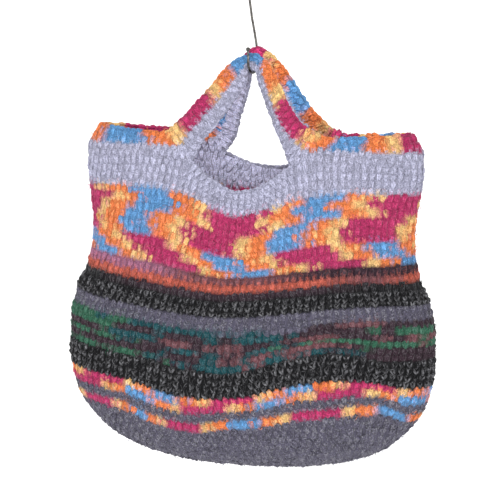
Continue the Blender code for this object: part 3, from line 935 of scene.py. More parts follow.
band_net_points = band_points(band_shares[:, None], band_stations[None, :])
rim_colours = edging_colour(band_stations)
band_verts = []
for j in range(len(band_stations)):
    column = []
    wall_column = wall_column_of(j)
    for k, share in enumerate(band_shares):
        if k == 0 and wall_column is not None:
            column.append(wall_verts[-1][wall_column])
            continue
        column.append(cloth_mesh.verts.new(band_net_points[k, j]))
        cloth_colours.append(YARNS["lavender"] if share < LAVENDER_SHARE else rim_colours[j])
        cloth_fluff.append(USUAL_FLUFF if share < LAVENDER_SHARE else FLUFF["edging"])
    band_verts.append(column)
for j, column in enumerate(band_verts):
    after = band_verts[(j + 1) % len(band_verts)]
    for k in range(BAND_ROWS):
        cloth_mesh.faces.new((column[k], after[k], after[k + 1], column[k + 1]))
cloth_data = bpy.data.meshes.new("ground_cloth")
cloth_mesh.to_mesh(cloth_data)
cloth_mesh.free()
cloth_colours = np.array(cloth_colours)
# The ground's colours darkened with painted shade for the crevices, and its full colours
add_values(cloth_data, "yarn_from", "FLOAT_COLOR", cloth_colours * CREVICE_PAINTED_SHADE)
add_values(cloth_data, "yarn_to", "FLOAT_COLOR", cloth_colours)
# The inside's colours, brightened with painted light
add_values(cloth_data, "yarn_inside_painted_light", "FLOAT_COLOR", with_painted_inner_light(cloth_colours))
add_values(cloth_data, "fluff", "FLOAT", cloth_fluff)

# The bottom chain: the first round doubles back on itself, so its two sides are sewn into one line.
SEW_DISTANCE = 0.1 * MM
cloth_mesh = bmesh.new()
cloth_mesh.from_mesh(cloth_data)
cloth_mesh.verts.ensure_lookup_table()
bmesh.ops.remove_doubles(cloth_mesh, verts=cloth_mesh.verts[: len(wall_places)], dist=SEW_DISTANCE)
cloth_mesh.to_mesh(cloth_data)
flat_area = sum(face.calc_area() for face in cloth_mesh.faces)
cloth_mesh.free()
cloth_data.shade_smooth()
ground = add_object("ground_cloth", cloth_data)
thicken = ground.modifiers.new("thickness", "SOLIDIFY")
thicken.thickness = GROUND_THICKNESS
thicken.offset = 0.0
thicken.use_even_offset = True
thicken.material_offset = 1

# The wool's noises: how many of their spots go to a metre, and their detail. The fibres of a stitch are
# measured along and round its yarn.
WOOL_ROUGHNESS = 0.95
SHEEN_ROUGHNESS = 0.55
WOOL_GLOSS = 0.2
MATTED_NOISE = (700.0, 3.0)
TANGLE_NOISE = (380.0, 3.0)
FINE_NOISE = (820.0, 2.0)
DARK_NOISE = (560.0, 1.0)
GROUND_FIBRES = (1100.0, 4.0)
YARN_FIBRES = (1.5, 2.0)
YARN_STRETCH = (0.55, 1.7, 1.0)
YARN_SHIFT_PER_METRE = 110.0

# What is made of a noise or of a place in the stitch: the two values that it runs between, and the shades
# or shares that they become
MATTED_SHARES = (0.3, 0.7, -0.35, 0.35)
FOOT_SHARES = (-0.15, 0.45, 0.80, 0.0)
TANGLE_SHARES = (0.35, 0.65, -0.30, 0.30)
FIBRE_SHADES = (0.3, 0.7, 0.72, 1.22)
FINE_SHADES = (0.3, 0.7, 0.58, 1.38)
DARK_FLECK_SHARES = (0.52, 0.42, 0.0, 0.7)
# The depths in a stitch over which painted shade in its gaps turns into painted light on its crown
PAINTED_SHADE_DEPTHS = (-0.05, 0.34)
FLECKED_DEPTHS = (0.05, 0.32)
CROWN_PAINTED_LIGHT = 1.05
UNDYED = (0.5, 0.5, 0.5, 1.0)
FLECK_COLOUR = (0.22, 0.22, 0.235, 1.0)
DARK_FLECK = (0.008, 0.008, 0.010, 1.0)
FLECKS_TO = 0.62
FULL_FLECK = 0.9
FIBRE_BUMP = 0.6
FIBRE_HEIGHT = 0.35 * MM


def wool_material(
    name,
    on_yarn,
    plain_colour="yarn_from",
    sheen=0.08,
    gap_painted_shade=0.80,
    grain=0.55,
    gap_flecks=1.0,
    flecks_from=0.49,
):
    """Felted wool in the yarns' own colours. On a stitch, fibres run along the yarn and its two colours
    meet part way; its gaps are darkened with painted shade and its crown lightened with painted light. The
    flecks are the pale hairs of the heather yarns; kept to the crowns, they also paint a highlight."""
    material, shader = paint(name, UNDYED, WOOL_ROUGHNESS)
    shader.inputs["Sheen Weight"].default_value = sheen
    shader.inputs["Sheen Roughness"].default_value = SHEEN_ROUGHNESS
    shader.inputs["Specular IOR Level"].default_value = WOOL_GLOSS
    tree = material.node_tree
    here = add_node(tree, "ShaderNodeTexCoord").outputs["Object"]

    def attribute(attribute_name, output="Fac"):
        return add_node(tree, "ShaderNodeAttribute", attribute_name=attribute_name).outputs[output]

    def noise(scale, detail, vector=here):
        feeds = {"Vector": vector, "Scale": scale, "Detail": detail}
        return add_node(tree, "ShaderNodeTexNoise", feeds).outputs["Fac"]

    def combined(operation, first, second, clamp=False):
        feeds = {0: first, 1: second}
        return add_node(tree, "ShaderNodeMath", feeds, operation=operation, use_clamp=clamp).outputs["Value"]

    def mix(factor, first, second, blend="MIX"):
        feeds = {0: factor, 6: first, 7: second}
        return add_node(tree, "ShaderNodeMix", feeds, data_type="RGBA", blend_type=blend).outputs[2]

    def shaped(value, low, high, to_low, to_high):
        feeds = {"Value": value, "From Min": low, "From Max": high, "To Min": to_low, "To Max": to_high}
        return add_node(tree, "ShaderNodeMapRange", feeds).outputs["Result"]

    if on_yarn:
        along_yarn = add_node(tree, "ShaderNodeUVMap", uv_map="UVMap").outputs["UV"]
        stretch = add_node(tree, "ShaderNodeMapping", {"Vector": along_yarn, "Scale": YARN_STRETCH})
        moved = add_node(
            tree,
            "ShaderNodeVectorMath",
            {0: here, 1: (YARN_SHIFT_PER_METRE,) * 3, 2: stretch.outputs["Vector"]},
            operation="MULTIPLY_ADD",
        )
        fibres = noise(*YARN_FIBRES, moved.outputs["Vector"])
        matted = shaped(noise(*MATTED_NOISE), *MATTED_SHARES)
        spread = combined("ADD", attribute("progress"), matted, clamp=True)
        colour = mix(spread, attribute("yarn_from", "Color"), attribute("yarn_to", "Color"))
        foot = shaped(attribute("rise"), *FOOT_SHARES)
        tangle = shaped(noise(*TANGLE_NOISE), *TANGLE_SHARES)
        colour = mix(combined("ADD", foot, tangle, clamp=True), colour, attribute("yarn_below", "Color"))
    else:
        fibres = noise(*GROUND_FIBRES)
        colour = attribute(plain_colour, "Color")
    fine = noise(*FINE_NOISE)
    streaks = combined("MULTIPLY", shaped(fibres, *FIBRE_SHADES), shaped(fine, *FINE_SHADES))
    flecked = attribute("fleck")
    if on_yarn:
        outness = attribute("outness")
        # Painted shade deep in a stitch's gaps, and painted light on its crown
        streaks = combined("MULTIPLY", streaks, shaped(outness, *PAINTED_SHADE_DEPTHS, gap_painted_shade, CROWN_PAINTED_LIGHT))
        # Flecks kept to the crowns and dropped from the gaps: partly the heather's pale hairs, partly a
        # painted highlight on the strands
        flecked = combined("MULTIPLY", flecked, shaped(outness, *FLECKED_DEPTHS, gap_flecks, 1.0))
    grey = add_node(tree, "ShaderNodeCombineColor", {k: streaks for k in range(3)})
    colour = mix(1.0, colour, grey.outputs["Color"], "MULTIPLY")
    speckle = combined("ADD", combined("MULTIPLY", fibres, 1.0 - grain), combined("MULTIPLY", fine, grain))
    pale = combined("MULTIPLY", flecked, shaped(speckle, flecks_from, FLECKS_TO, 0.0, FULL_FLECK))
    colour = mix(pale, colour, FLECK_COLOUR)
    dark_spots = shaped(noise(*DARK_NOISE), *DARK_FLECK_SHARES)
    colour = mix(combined("MULTIPLY", attribute("fleck"), dark_spots), colour, DARK_FLECK)
    tree.links.new(colour, shader.inputs["Base Color"])
    bump = add_node(
        tree,
        "ShaderNodeBump",
        {"Strength": FIBRE_BUMP, "Distance": FIBRE_HEIGHT, "Height": fibres},
    )
    tree.links.new(bump.outputs["Normal"], shader.inputs["Normal"])
    return material


ground_wool = wool_material("felted_ground", on_yarn=False)
stitch_wool = wool_material("felted_wool", on_yarn=True)
# The heather wool: strong painted shade in its gaps, and pale flecks kept to the crowns, partly its own pale
# hairs and partly a painted highlight
heather_wool = wool_material(
    "heather_wool",
    on_yarn=True,
    sheen=0.05,
    gap_painted_shade=0.30,
    grain=0.20,
    gap_flecks=0.03,
    flecks_from=0.43,
)
# Outside, the ground shows its colours darkened with painted shade; inside, its colours brightened with
# painted light
cloth_data.materials.append(ground_wool)
cloth_data.materials.append(wool_material("felted_inside_painted_light", on_yarn=False, plain_colour="yarn_inside_painted_light"))
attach(ground, "root")
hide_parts("bag")

# The stitches: each round is a row of single crochet, worked into the one below. A stitch is modelled a few
# times over, and Geometry Nodes set them out along the rounds, standing out of the cloth.
STITCH_VARIANTS = 5
STITCH_SEED = 11
LEG_SIDES = 4
STITCH_WIDTH = 7.7
STITCHES_PER_ROUND = 108
EVEN_FROM_ROUND = 12.0
ROUND_LEAN = 0.13
OUT_FROM_MIDDLE = 1.1 * MM
INNER_OUT = 1.7 * MM
RELIEF_SCALE = 7.4 * MM
# A stitch's strands, point by point: across, up and out, and the radius, in shares of a stitch. Thick yarn
# that has felted shut is a plump V of two legs on a post; the heather yarn's V stays open, with a strand
# across it.
POST = (
    (0.03, -0.16, -0.10, 0.26),
    (0.00, 0.42, -0.03, 0.40),
    (-0.02, 0.92, -0.10, 0.30),
)
LEFT_LEG = (
    (-0.06, -0.22, 0.04, 0.13),
    (-0.14, 0.14, 0.17, 0.185),
    (-0.23, 0.52, 0.20, 0.19),
    (-0.29, 0.88, -0.02, 0.15),
)
RIGHT_LEG = (
    (0.13, -0.20, 0.02, 0.12),
    (0.12, 0.16, 0.20, 0.175),
    (0.22, 0.54, 0.22, 0.185),
    (0.30, 0.91, -0.04, 0.15),
)
LEFT_STRAND = (
    (0.06, -0.42, -0.06, 0.11),
    (-0.06, -0.05, 0.18, 0.15),
    (-0.22, 0.38, 0.22, 0.15),
    (-0.40, 0.86, -0.06, 0.11),
)
RIGHT_STRAND = (
    (0.10, -0.36, -0.08, 0.11),
    (0.12, 0.02, 0.16, 0.15),
    (0.24, 0.42, 0.24, 0.16),
    (0.42, 0.90, -0.04, 0.11),
)
CROSS_STRAND = (
    (-0.34, 0.62, -0.08, 0.10),
    (-0.02, 0.72, 0.16, 0.13),
    (0.34, 0.92, -0.04, 0.10),
)
STRAND_SWAY = 0.03
TIP_REACH = 0.7
TIP_SHARE = 0.1


def add_strand(bm, layers, points, plumpness, draw):
    """One closed strand through a few points, with its yarn's length and turn as UV, and with how far
    each point lies across, up and out of the stitch."""
    uv_layer, progress, rise, outness = layers
    centres = [Vector(point[:3]) for point in points]
    centres = [c + Vector([draw.uniform(-STRAND_SWAY, STRAND_SWAY) for _ in range(3)]) for c in centres]
    rings = []
    for k, (centre, point) in enumerate(zip(centres, points)):
        ahead = centres[min(k + 1, len(centres) - 1)] - centres[max(k - 1, 0)]
        ahead.normalize()
        side = ahead.cross(Vector((0.0, 0.0, 1.0))).normalized()
        out = side.cross(ahead)
        ring = []
        for turn in range(LEG_SIDES):
            angle = 2 * math.pi * turn / LEG_SIDES
            reach = point[3] * plumpness
            vert = bm.verts.new(centre + reach * (math.cos(angle) * side + math.sin(angle) * out))
            vert[progress] = centre.x + 0.5
            vert[rise] = centre.y
            vert[outness] = vert.co.z
            ring.append(vert)
        rings.append(ring)
    tips = []
    for end, inward in ((0, 1), (-1, -2)):
        away = (centres[end] - centres[inward]).normalized()
        tip = bm.verts.new(centres[end] + away * points[end][3] * TIP_REACH)
        tip[progress] = centres[end].x + 0.5
        tip[rise] = centres[end].y
        tip[outness] = tip.co.z
        tips.append(tip)

    def face_with_uv(verts, uvs):
        face = bm.faces.new(verts)
        face.smooth = True
        for loop, uv in zip(face.loops, uvs):
            loop[uv_layer].uv = uv

    for turn in range(LEG_SIDES):
        after = (turn + 1) % LEG_SIDES
        v0, v1 = turn / LEG_SIDES, (turn + 1) / LEG_SIDES
        for k in range(len(rings) - 1):
            verts = (rings[k][turn], rings[k + 1][turn], rings[k + 1][after], rings[k][after])
            u0, u1 = k / len(rings), (k + 1) / len(rings)
            face_with_uv(verts, ((u0, v0), (u1, v0), (u1, v1), (u0, v1)))
        u0, u1 = TIP_SHARE, 1 - TIP_SHARE
        face_with_uv((tips[0], rings[0][turn], rings[0][after]), ((0, v0), (u0, v0), (u0, v1)))
        face_with_uv((tips[1], rings[-1][after], rings[-1][turn]), ((1, v0), (u1, v1), (u1, v0)))


def stitch_patterns(name, strands, plumpness):
    """A few differently drawn stitches of one sort, for the rows to choose from."""
    draw = random.Random(STITCH_SEED)
    patterns = bpy.data.collections.new(name)
    for variant in range(STITCH_VARIANTS):
        bm = bmesh.new()
        uv_layer = bm.loops.layers.uv.new("UVMap")
        layers = [uv_layer, *(bm.verts.layers.float.new(key) for key in ("progress", "rise", "outness"))]
        for strand in strands:
            add_strand(bm, layers, strand, plumpness, draw)
        bmesh.ops.recalc_face_normals(bm, faces=bm.faces)
        stitch_mesh = bpy.data.meshes.new(f"{name}_{variant}")
        bm.to_mesh(stitch_mesh)
        bm.free()
        patterns.objects.link(bpy.data.objects.new(f"{name}_{variant}", stitch_mesh))
    return patterns


FELTED_PLUMPNESS = 1.05
OPEN_PLUMPNESS = 1.12
felted_stitches = stitch_patterns("felted_stitch", (POST, LEFT_LEG, RIGHT_LEG), FELTED_PLUMPNESS)
open_stitches = stitch_patterns("open_stitch", (LEFT_STRAND, RIGHT_STRAND, CROSS_STRAND), OPEN_PLUMPNESS)


def node_tree(name, inputs):
    """A Geometry Nodes tree with a mesh going in and out and these named inputs, and what they give."""
    tree = bpy.data.node_groups.new(name, "GeometryNodeTree")
    for input_name, kind in (("Geometry", "Geometry"), *inputs):
        tree.interface.new_socket(input_name, in_out="INPUT", socket_type="NodeSocket" + kind)
    tree.interface.new_socket("Geometry", in_out="OUTPUT", socket_type="NodeSocketGeometry")
    return tree, tree.nodes.new("NodeGroupInput").outputs


def random_value(tree, kind, seed, limits=None):
    """A random value for each point or instance."""
    feeds = {"Seed": seed, **(limits or {})}
    return add_node(tree, "FunctionNodeRandomValue", feeds, data_type=kind).outputs["Value"]


def set_on_points(tree, patterns, count, seed, feeds):
    """One of a collection's patterns, chosen at random, on every point."""
    variants = add_node(
        tree,
        "GeometryNodeCollectionInfo",
        {"Collection": patterns, "Separate Children": True, "Reset Children": True},
    )
    feeds = {
        "Instance": variants.outputs["Instances"],
        "Pick Instance": True,
        "Instance Index": random_value(tree, "INT", seed, {"Max": count - 1}),
        **feeds,
    }
    return add_node(tree, "GeometryNodeInstanceOnPoints", feeds).outputs["Instances"]


def turned_and_real(tree, instances, least, most, seed):
    """Instances turned at random, between two rotations, and made real."""
    turns = random_value(tree, "FLOAT_VECTOR", seed, {"Min": least, "Max": most})
    turn = add_node(tree, "GeometryNodeRotateInstances", {"Instances": instances, "Rotation": turns})
    real = add_node(tree, "GeometryNodeRealizeInstances", {"Geometry": turn.outputs["Instances"]})
    return real.outputs["Geometry"]


def finish_tree(tree, geometry, wool):
    """Ends a tree by setting the material on what it has made."""
    finish = add_node(tree, "GeometryNodeSetMaterial", {"Geometry": geometry, "Material": wool})
    add_node(tree, "NodeGroupOutput", {"Geometry": finish.outputs["Geometry"]})
    return tree


def stitch_tree():
    """Sets a stitch on every point, turned and sized as the point says, and pulls them about by felting."""
    tree, given = node_tree("set_out_stitches", (
        ("Stitches", "Collection"),
        ("Wool", "Material"),
        ("Wobble", "Float"),
        ("Felting", "Float"),
        ("Lumps per Metre", "Float"),
        ("Seed", "Int"),
    ))

    def of_point(name):
        node = add_node(tree, "GeometryNodeInputNamedAttribute", {"Name": name}, data_type="FLOAT_VECTOR")
        return node.outputs["Attribute"]

    turned_out = add_node(
        tree,
        "FunctionNodeAxesToRotation",
        {"Primary Axis": of_point("face_out"), "Secondary Axis": of_point("along_round")},
        primary_axis="Z",
        secondary_axis="X",
    )
    placed = set_on_points(tree, given["Stitches"], STITCH_VARIANTS, given["Seed"], {
        "Points": given["Geometry"],
        "Rotation": turned_out.outputs["Rotation"],
        "Scale": of_point("size"),
    })
    most = add_node(tree, "ShaderNodeCombineXYZ", {axis: given["Wobble"] for axis in "XYZ"})
    most = most.outputs["Vector"]
    least = add_node(tree, "ShaderNodeVectorMath", {0: most, "Scale": -1.0}, operation="SCALE")
    real = turned_and_real(tree, placed, least.outputs["Vector"], most, given["Seed"])
    lumps = add_node(tree, "ShaderNodeTexNoise", {"Scale": given["Lumps per Metre"]})
    pull = add_node(
        tree,
        "ShaderNodeVectorMath",
        {0: lumps.outputs["Color"], 1: (0.5, 0.5, 0.5)},
        operation="SUBTRACT",
    )
    felted = add_node(
        tree,
        "ShaderNodeVectorMath",
        {0: pull.outputs["Vector"], "Scale": given["Felting"]},
        operation="SCALE",
    )
    matted = add_node(
        tree,
        "GeometryNodeSetPosition",
        {"Geometry": real, "Offset": felted.outputs["Vector"]},
    )
    return finish_tree(tree, matted.outputs["Geometry"], given["Wool"])


set_out_stitches = stitch_tree()
STITCH_WOBBLE = 0.18
FELTING = 3.0 * MM
LUMPS_PER_METRE = 330.0


def made_by_nodes(name, points_mesh, tree, settings):
    """A plain mesh object of what a tree makes from a mesh, with the tree's inputs set by their names."""
    seedbed = add_object(name + "_points", points_mesh)
    modifier = seedbed.modifiers.new("set_out", "NODES")
    modifier.node_group = tree
    for item in tree.interface.items_tree:
        if item.in_out == "INPUT" and item.name in settings:
            modifier[item.identifier] = settings[item.name]
    seen = seedbed.evaluated_get(bpy.context.evaluated_depsgraph_get())
    mesh = bpy.data.meshes.new_from_object(seen)
    mesh.name = name
    bpy.data.objects.remove(seedbed)
    return add_object(name, mesh)


def crochet(name, stitches, seed, patterns=felted_stitches, wool=stitch_wool):
    """One piece of many stitches. Each stitch says its point, the way out of the cloth, the way along
    the round, its size, its two yarn colours, the colour below it and its flecks."""
    mesh = bpy.data.meshes.new(name)
    mesh.from_pydata([stitch["point"] for stitch in stitches], [], [])
    for kind, keys in (
        ("FLOAT_VECTOR", ("face_out", "along_round", "size")),
        ("FLOAT_COLOR", ("yarn_from", "yarn_to", "yarn_below")),
        ("FLOAT", ("fleck",)),
    ):
        for key in keys:
            add_values(mesh, key, kind, [stitch[key] for stitch in stitches])
    settings = {
        "Stitches": patterns,
        "Wool": wool,
        "Wobble": STITCH_WOBBLE,
        "Felting": FELTING,
        "Lumps per Metre": LUMPS_PER_METRE,
        "Seed": seed,
    }
    piece = made_by_nodes(name, mesh, set_out_stitches, settings)
    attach(piece, "root")
    return piece


TINT_SPREAD = 0.09
SIZE_SPREAD = 0.10
COLOUR_SCATTER = 3.0 * MM
EDGE_SAMPLES = 720
tint_draw = random.Random(STITCH_SEED + 1)


def read_closed(line, marks, at):
    """Points of a closed line, at marks that are known for each of its points and for the first again."""
    position = np.interp(np.mod(at, marks[-1]), marks, np.arange(len(marks), dtype=float))
    k = np.floor(position).astype(int)
    t = (position - k)[:, None]
    closed = np.concatenate((line, line[:1], line[1:2]))
    return closed[k] * (1 - t) + closed[k + 1] * t


def row_of_stitches(
    low,
    middle,
    high,
    colour_at,
    below_at,
    relief,
    fleck,
    count,
    offset,
    scatter=COLOUR_SCATTER,
    inner=False,
):
    """Stitches evenly spaced along a closed row, given by its lower, middle and upper lines."""
    length = np.concatenate(([0.0], np.cumsum(step_lengths(middle))))
    total = length[-1]
    spots = (np.arange(count) + offset) * total / count
    half = total / count / 2
    bottom, top = read_closed(low, length, spots), read_closed(high, length, spots)
    along = read_closed(middle, length, spots + half) - read_closed(middle, length, spots - half)
    width = np.linalg.norm(along, axis=1)
    up = top - bottom
    height = np.linalg.norm(up, axis=1)
    out = np.cross(along, up)
    out /= np.linalg.norm(out, axis=1)[:, None]
    along /= width[:, None]
    strayed = np.array([tint_draw.gauss(0.0, scatter) for _ in range(count)])
    colours_before = colour_at(np.mod(spots + strayed - half, total) / total)
    colours_after = colour_at(np.mod(spots + strayed + half, total) / total)
    colours_below = below_at(np.mod(spots, total) / total)
    sign = -1.0 if inner else 1.0
    made = []
    for k in range(count):
        tint = 1.0 + tint_draw.uniform(-TINT_SPREAD, TINT_SPREAD)
        made.append({
            "point": bottom[k] + sign * out[k] * (INNER_OUT if inner else OUT_FROM_MIDDLE),
            "face_out": sign * out[k],
            "along_round": sign * along[k],
            "size": (
                width[k] * tint_draw.uniform(1 - SIZE_SPREAD, 1 + SIZE_SPREAD),
                height[k] * tint_draw.uniform(1 - SIZE_SPREAD, 1 + SIZE_SPREAD),
                relief * RELIEF_SCALE * tint_draw.uniform(1 - SIZE_SPREAD, 1 + SIZE_SPREAD),
            ),
            "yarn_from": (colours_after if inner else colours_before)[k] * tint,
            "yarn_to": (colours_before if inner else colours_after)[k] * tint,
            "yarn_below": colours_below[k] * tint,
            "fleck": fleck,
        })
    return made


def colour_reader(shares, colours):
    """A function that reads colours at shares of the way along a closed line."""
    return lambda at: read_colours(at, shares, colours)


def shares_along(line):
    """The share of a closed line's length at which each of its points lies, and the whole length."""
    steps = step_lengths(line)
    return np.concatenate(([0.0], np.cumsum(steps)))[:-1] / steps.sum(), steps.sum()


# The stripes whose rows keep to their own colour, down to the foot of each stitch
SHARP_ROWS = ("low_black", "upper_black", "mixed_rows")


def wall_row(number, inner=False):
    """The stitches of one round of the wall."""
    row = rounds[number]
    under = row if row["stripe"] in SHARP_ROWS else rounds[max(number - 1, 0)]
    places = np.arange(EDGE_SAMPLES) / EDGE_SAMPLES
    low, high = wall_points(row["low"], places), wall_points(row["high"], places)
    middle = (low + high) / 2
    lengths = lengths_from_front(middle)
    across = middle[:, 0] / MM
    shares, whole = shares_along(middle)
    readers = []
    for source in (row, under):
        colours = round_colour(source["stripe"], source["row"], lengths, across)
        # On the inside the yarns' colours are brightened with painted light
        readers.append(colour_reader(shares, with_painted_inner_light(colours) if inner else colours))
    own, below = readers
    count = STITCHES_PER_ROUND
    if row["low"] < EVEN_FROM_ROUND:
        count = round(whole / MM / STITCH_WIDTH)
    offset = ROUND_LEAN * number % 1.0
    relief = row["relief"] * (INNER_RELIEF if inner else 1.0)
    return row_of_stitches(
        low, middle, high, own, below, relief, row["fleck"], count, offset, row["scatter"], inner
    )


def wall_stitches(name, stripe_names, seed, patterns=felted_stitches, wool=stitch_wool):
    """One piece of the stitches of these stripes."""
    stitches = []
    for number, row in enumerate(rounds):
        if row["stripe"] in stripe_names:
            stitches.extend(wall_row(number))
    return crochet(name, stitches, seed, patterns, wool)


# The base and the grey rounds round it, in one slate heather yarn, felted almost smooth, with one row of
# the self-striping yarn between them.
base_stitches = wall_stitches("base_stitches", ("base", "thin_row", "low_grey"), seed=21)

# The lower stripes: two bright rows, and six rows of mixed greens and browns.
lower_stitches = wall_stitches("lower_stripe_stitches", ("bright_rows", "mixed_rows"), seed=22)

# The upper stripes: slate grey, and single rows of maroon, coral and mauve.
upper_stitches = wall_stitches(
    "upper_stripe_stitches",
    ("upper_grey", "maroon_row", "coral_row", "mauve_row"),
    seed=23,
)

# The two stripes of black heather yarn, which has felted less: its stitches stand out, with deep gaps.
black_stitches = wall_stitches(
    "black_stripe_stitches",
    ("low_black", "upper_black"),
    seed=27,
    patterns=open_stitches,
    wool=heather_wool,
)

# The wide band of self-striping yarn, whose colours meet at random from row to row.
wide_stitches = wall_stitches("wide_band_stitches", ("wide_band",), seed=24)

# The lavender rounds under the mouth, and the inside of the cloth that shows through the hand holes.
INNER_FROM_ROUND = 35.0
INNER_RELIEF = 0.5
lavender_stitches = wall_stitches("lavender_stitches", ("lavender_wall",), seed=25)
inner_side = []
for number, row in enumerate(rounds):
    if row["low"] > INNER_FROM_ROUND:
        inner_side.extend(wall_row(number, inner=True))
inner_stitches = crochet("inner_stitches", inner_side, seed=26)

# The band over the ears and handles: two rows in lavender and two of self-striping edging, on both sides
# of the cloth, and a last row laid over the top edge.
BAND_RELIEF = 0.44
BAND_STITCH_WIDTH = 7.4
BAND_LEAN = 0.3


def band_row(low_share, high_share, colour, below, inner=False, offset=0.0):
    """The stitches of one row of the band."""
    low, high = band_points(low_share, rim_stations), band_points(high_share, rim_stations)
    middle = band_points((low_share + high_share) / 2, rim_stations)
    shares, whole = shares_along(middle)
    own_colours, under_colours = colour(rim_stations), below(rim_stations)
    if inner:
        # On the inside the band's colours are brightened with painted light
        own_colours, under_colours = with_painted_inner_light(own_colours), with_painted_inner_light(under_colours)
    own = colour_reader(shares, own_colours)
    under = colour_reader(shares, under_colours)
    count = round(whole / MM / BAND_STITCH_WIDTH)
    return row_of_stitches(low, middle, high, own, under, BAND_RELIEF, 0.0, count, offset, inner=inner)


def lavender_colour(stations):
    """Plain lavender all the way."""
    return np.tile(YARNS["lavender"], (len(stations), 1))


band_stitches = []
edging_stitches = []
for inner in (False, True):
    for k in range(BAND_ROUNDS):
        low_share, high_share = k / BAND_ROUNDS, (k + 1) / BAND_ROUNDS
        yarn = lavender_colour if high_share <= LAVENDER_SHARE else edging_colour
        yarn_under = lavender_colour if low_share <= LAVENDER_SHARE else edging_colour
        row = band_row(low_share, high_share, yarn, yarn_under, inner, BAND_LEAN * k)
        (band_stitches if yarn is lavender_colour else edging_stitches).extend(row)


def edge_row(edge, below, colour_at):
    """Chain stitches laid along a closed edge of the cloth, as wide as the cloth is thick."""
    shares, whole = shares_along(edge)
    count = round(whole / EDGE_PITCH)
    around = np.append(shares, 1.0)
    starts = np.arange(count) / count
    half = 0.5 / count
    colours = colour_at(starts + half)
    made = []
    for k, start in enumerate(starts):
        here, ahead = read_closed(edge, around, np.array([start, start + 2 * half]))
        out = here - read_closed(below, around, np.array([start]))[0]
        along = ahead - here
        length = np.linalg.norm(along)
        side = np.cross(along, out)
        side /= np.linalg.norm(side)
        out = np.cross(side, along) / length
        tint = 1.0 + tint_draw.uniform(-TINT_SPREAD, TINT_SPREAD)
        made.append({
            "point": here + out * EDGE_LIFT,
            "face_out": out,
            "along_round": side,
            "size": (EDGE_WIDTH, length * EDGE_OVERLAP, EDGE_WIDTH),
            "yarn_from": colours[k] * tint,
            "yarn_to": colours[k] * tint,
            "yarn_below": colours[k] * tint,
            "fleck": 0.0,
        })
    return made


EDGE_WIDTH = 5.8 * MM
EDGE_PITCH = 6.4 * MM
EDGE_OVERLAP = 1.15
EDGE_LIFT = -0.2 * MM
EDGE_BELOW = 0.1
LIP_SAMPLES = 160
rim_below = band_points(1.0 - EDGE_BELOW, rim_stations)
rim_colours_at = colour_reader(rim_length[:-1] / rim_length[-1], edging_colour(rim_stations))
edging_stitches.extend(edge_row(rim_line, rim_below, rim_colours_at))

# The edges of the two hand holes: along the lip from left to right, and back over the handle
for face in (0, 1):
    first = face * COLUMNS_PER_FACE + COLUMNS_PER_EAR
    lip_places = np.linspace(first, first + COLUMNS_PER_LIP, LIP_SAMPLES) / WALL_COLUMNS
    first_station = station_places.index(first / WALL_COLUMNS)
    last_station = station_places.index((first + COLUMNS_PER_LIP) / WALL_COLUMNS)
    handle_stations = np.linspace(last_station, first_station, LIP_SAMPLES)[1:-1]
    hole = np.concatenate((
        wall_points(float(WALL_ROUNDS), lip_places),
        band_points(0.0, handle_stations),
    ))
    hole_below = np.concatenate((
        wall_points(WALL_ROUNDS - EDGE_BELOW * BAND_ROUNDS, lip_places),
        band_points(EDGE_BELOW, handle_stations),
    ))
    band_stitches.extend(edge_row(hole, hole_below, lavender_colour))
band_piece = crochet("handle_stitches", band_stitches, seed=31)
edging_piece = crochet("edging_stitches", edging_stitches, seed=32)

# The fuzz: felting lifts the wool's hairs, which lie over the stitches and soften every outline.
FUZZ_SEED = 41
HAIR_VARIANTS = 4
HAIRS_PER_SQUARE_METRE = 60000.0
HAIR_RADIUS = 0.30 * MM
HAIR_TILT = 0.6
# A hair's points, across the cloth and out of its middle, in millimetres, and its tip
HAIR_LINE = ((0.0, 1.2), (0.9, 3.1), (2.7, 3.9))
HAIR_TIP = (4.8, 3.6)
HAIR_SIDES = 3
HAIR_CURL = 0.5
HAIR_LIFT = 0.4
HAIR_TAPER = 0.4
HAIR_TIP_SWING = 3.0
HAIR_SIZES = (0.5, 1.15)
DARKEST_HAIR = 0.45
LIGHTEST_HAIR = 1.6
fuzz_draw = random.Random(FUZZ_SEED)
hair_variants = bpy.data.collections.new("hair_variants")
for variant in range(HAIR_VARIANTS):
    bm = bmesh.new()
    rings = []
    for across, out in HAIR_LINE:
        curl = fuzz_draw.uniform(-HAIR_CURL, HAIR_CURL) * across
        centre = Vector((across, curl, out + fuzz_draw.uniform(-HAIR_LIFT, HAIR_LIFT)))
        thin = HAIR_RADIUS * (1.0 - HAIR_TAPER * across / HAIR_LINE[-1][0])
        ring = []
        for side in range(HAIR_SIDES):
            angle = 2 * math.pi * side / HAIR_SIDES
            around = Vector((0.0, math.cos(angle), math.sin(angle))) * thin
            ring.append(bm.verts.new(centre * MM + around))
        rings.append(ring)
    for lower, upper in zip(rings, rings[1:]):
        join_rings(bm, lower, upper)
    bm.faces.new(rings[0])
    swing = fuzz_draw.uniform(-HAIR_TIP_SWING, HAIR_TIP_SWING)
    tip = bm.verts.new(Vector((HAIR_TIP[0], swing, HAIR_TIP[1])) * MM)
    for side in range(HAIR_SIDES):
        bm.faces.new((rings[-1][side], rings[-1][(side + 1) % HAIR_SIDES], tip))
    bmesh.ops.recalc_face_normals(bm, faces=bm.faces)
    hair_mesh = bpy.data.meshes.new(f"hair_{variant}")
    bm.to_mesh(hair_mesh)
    bm.free()
    hair_variants.objects.link(bpy.data.objects.new(f"hair_{variant}", hair_mesh))


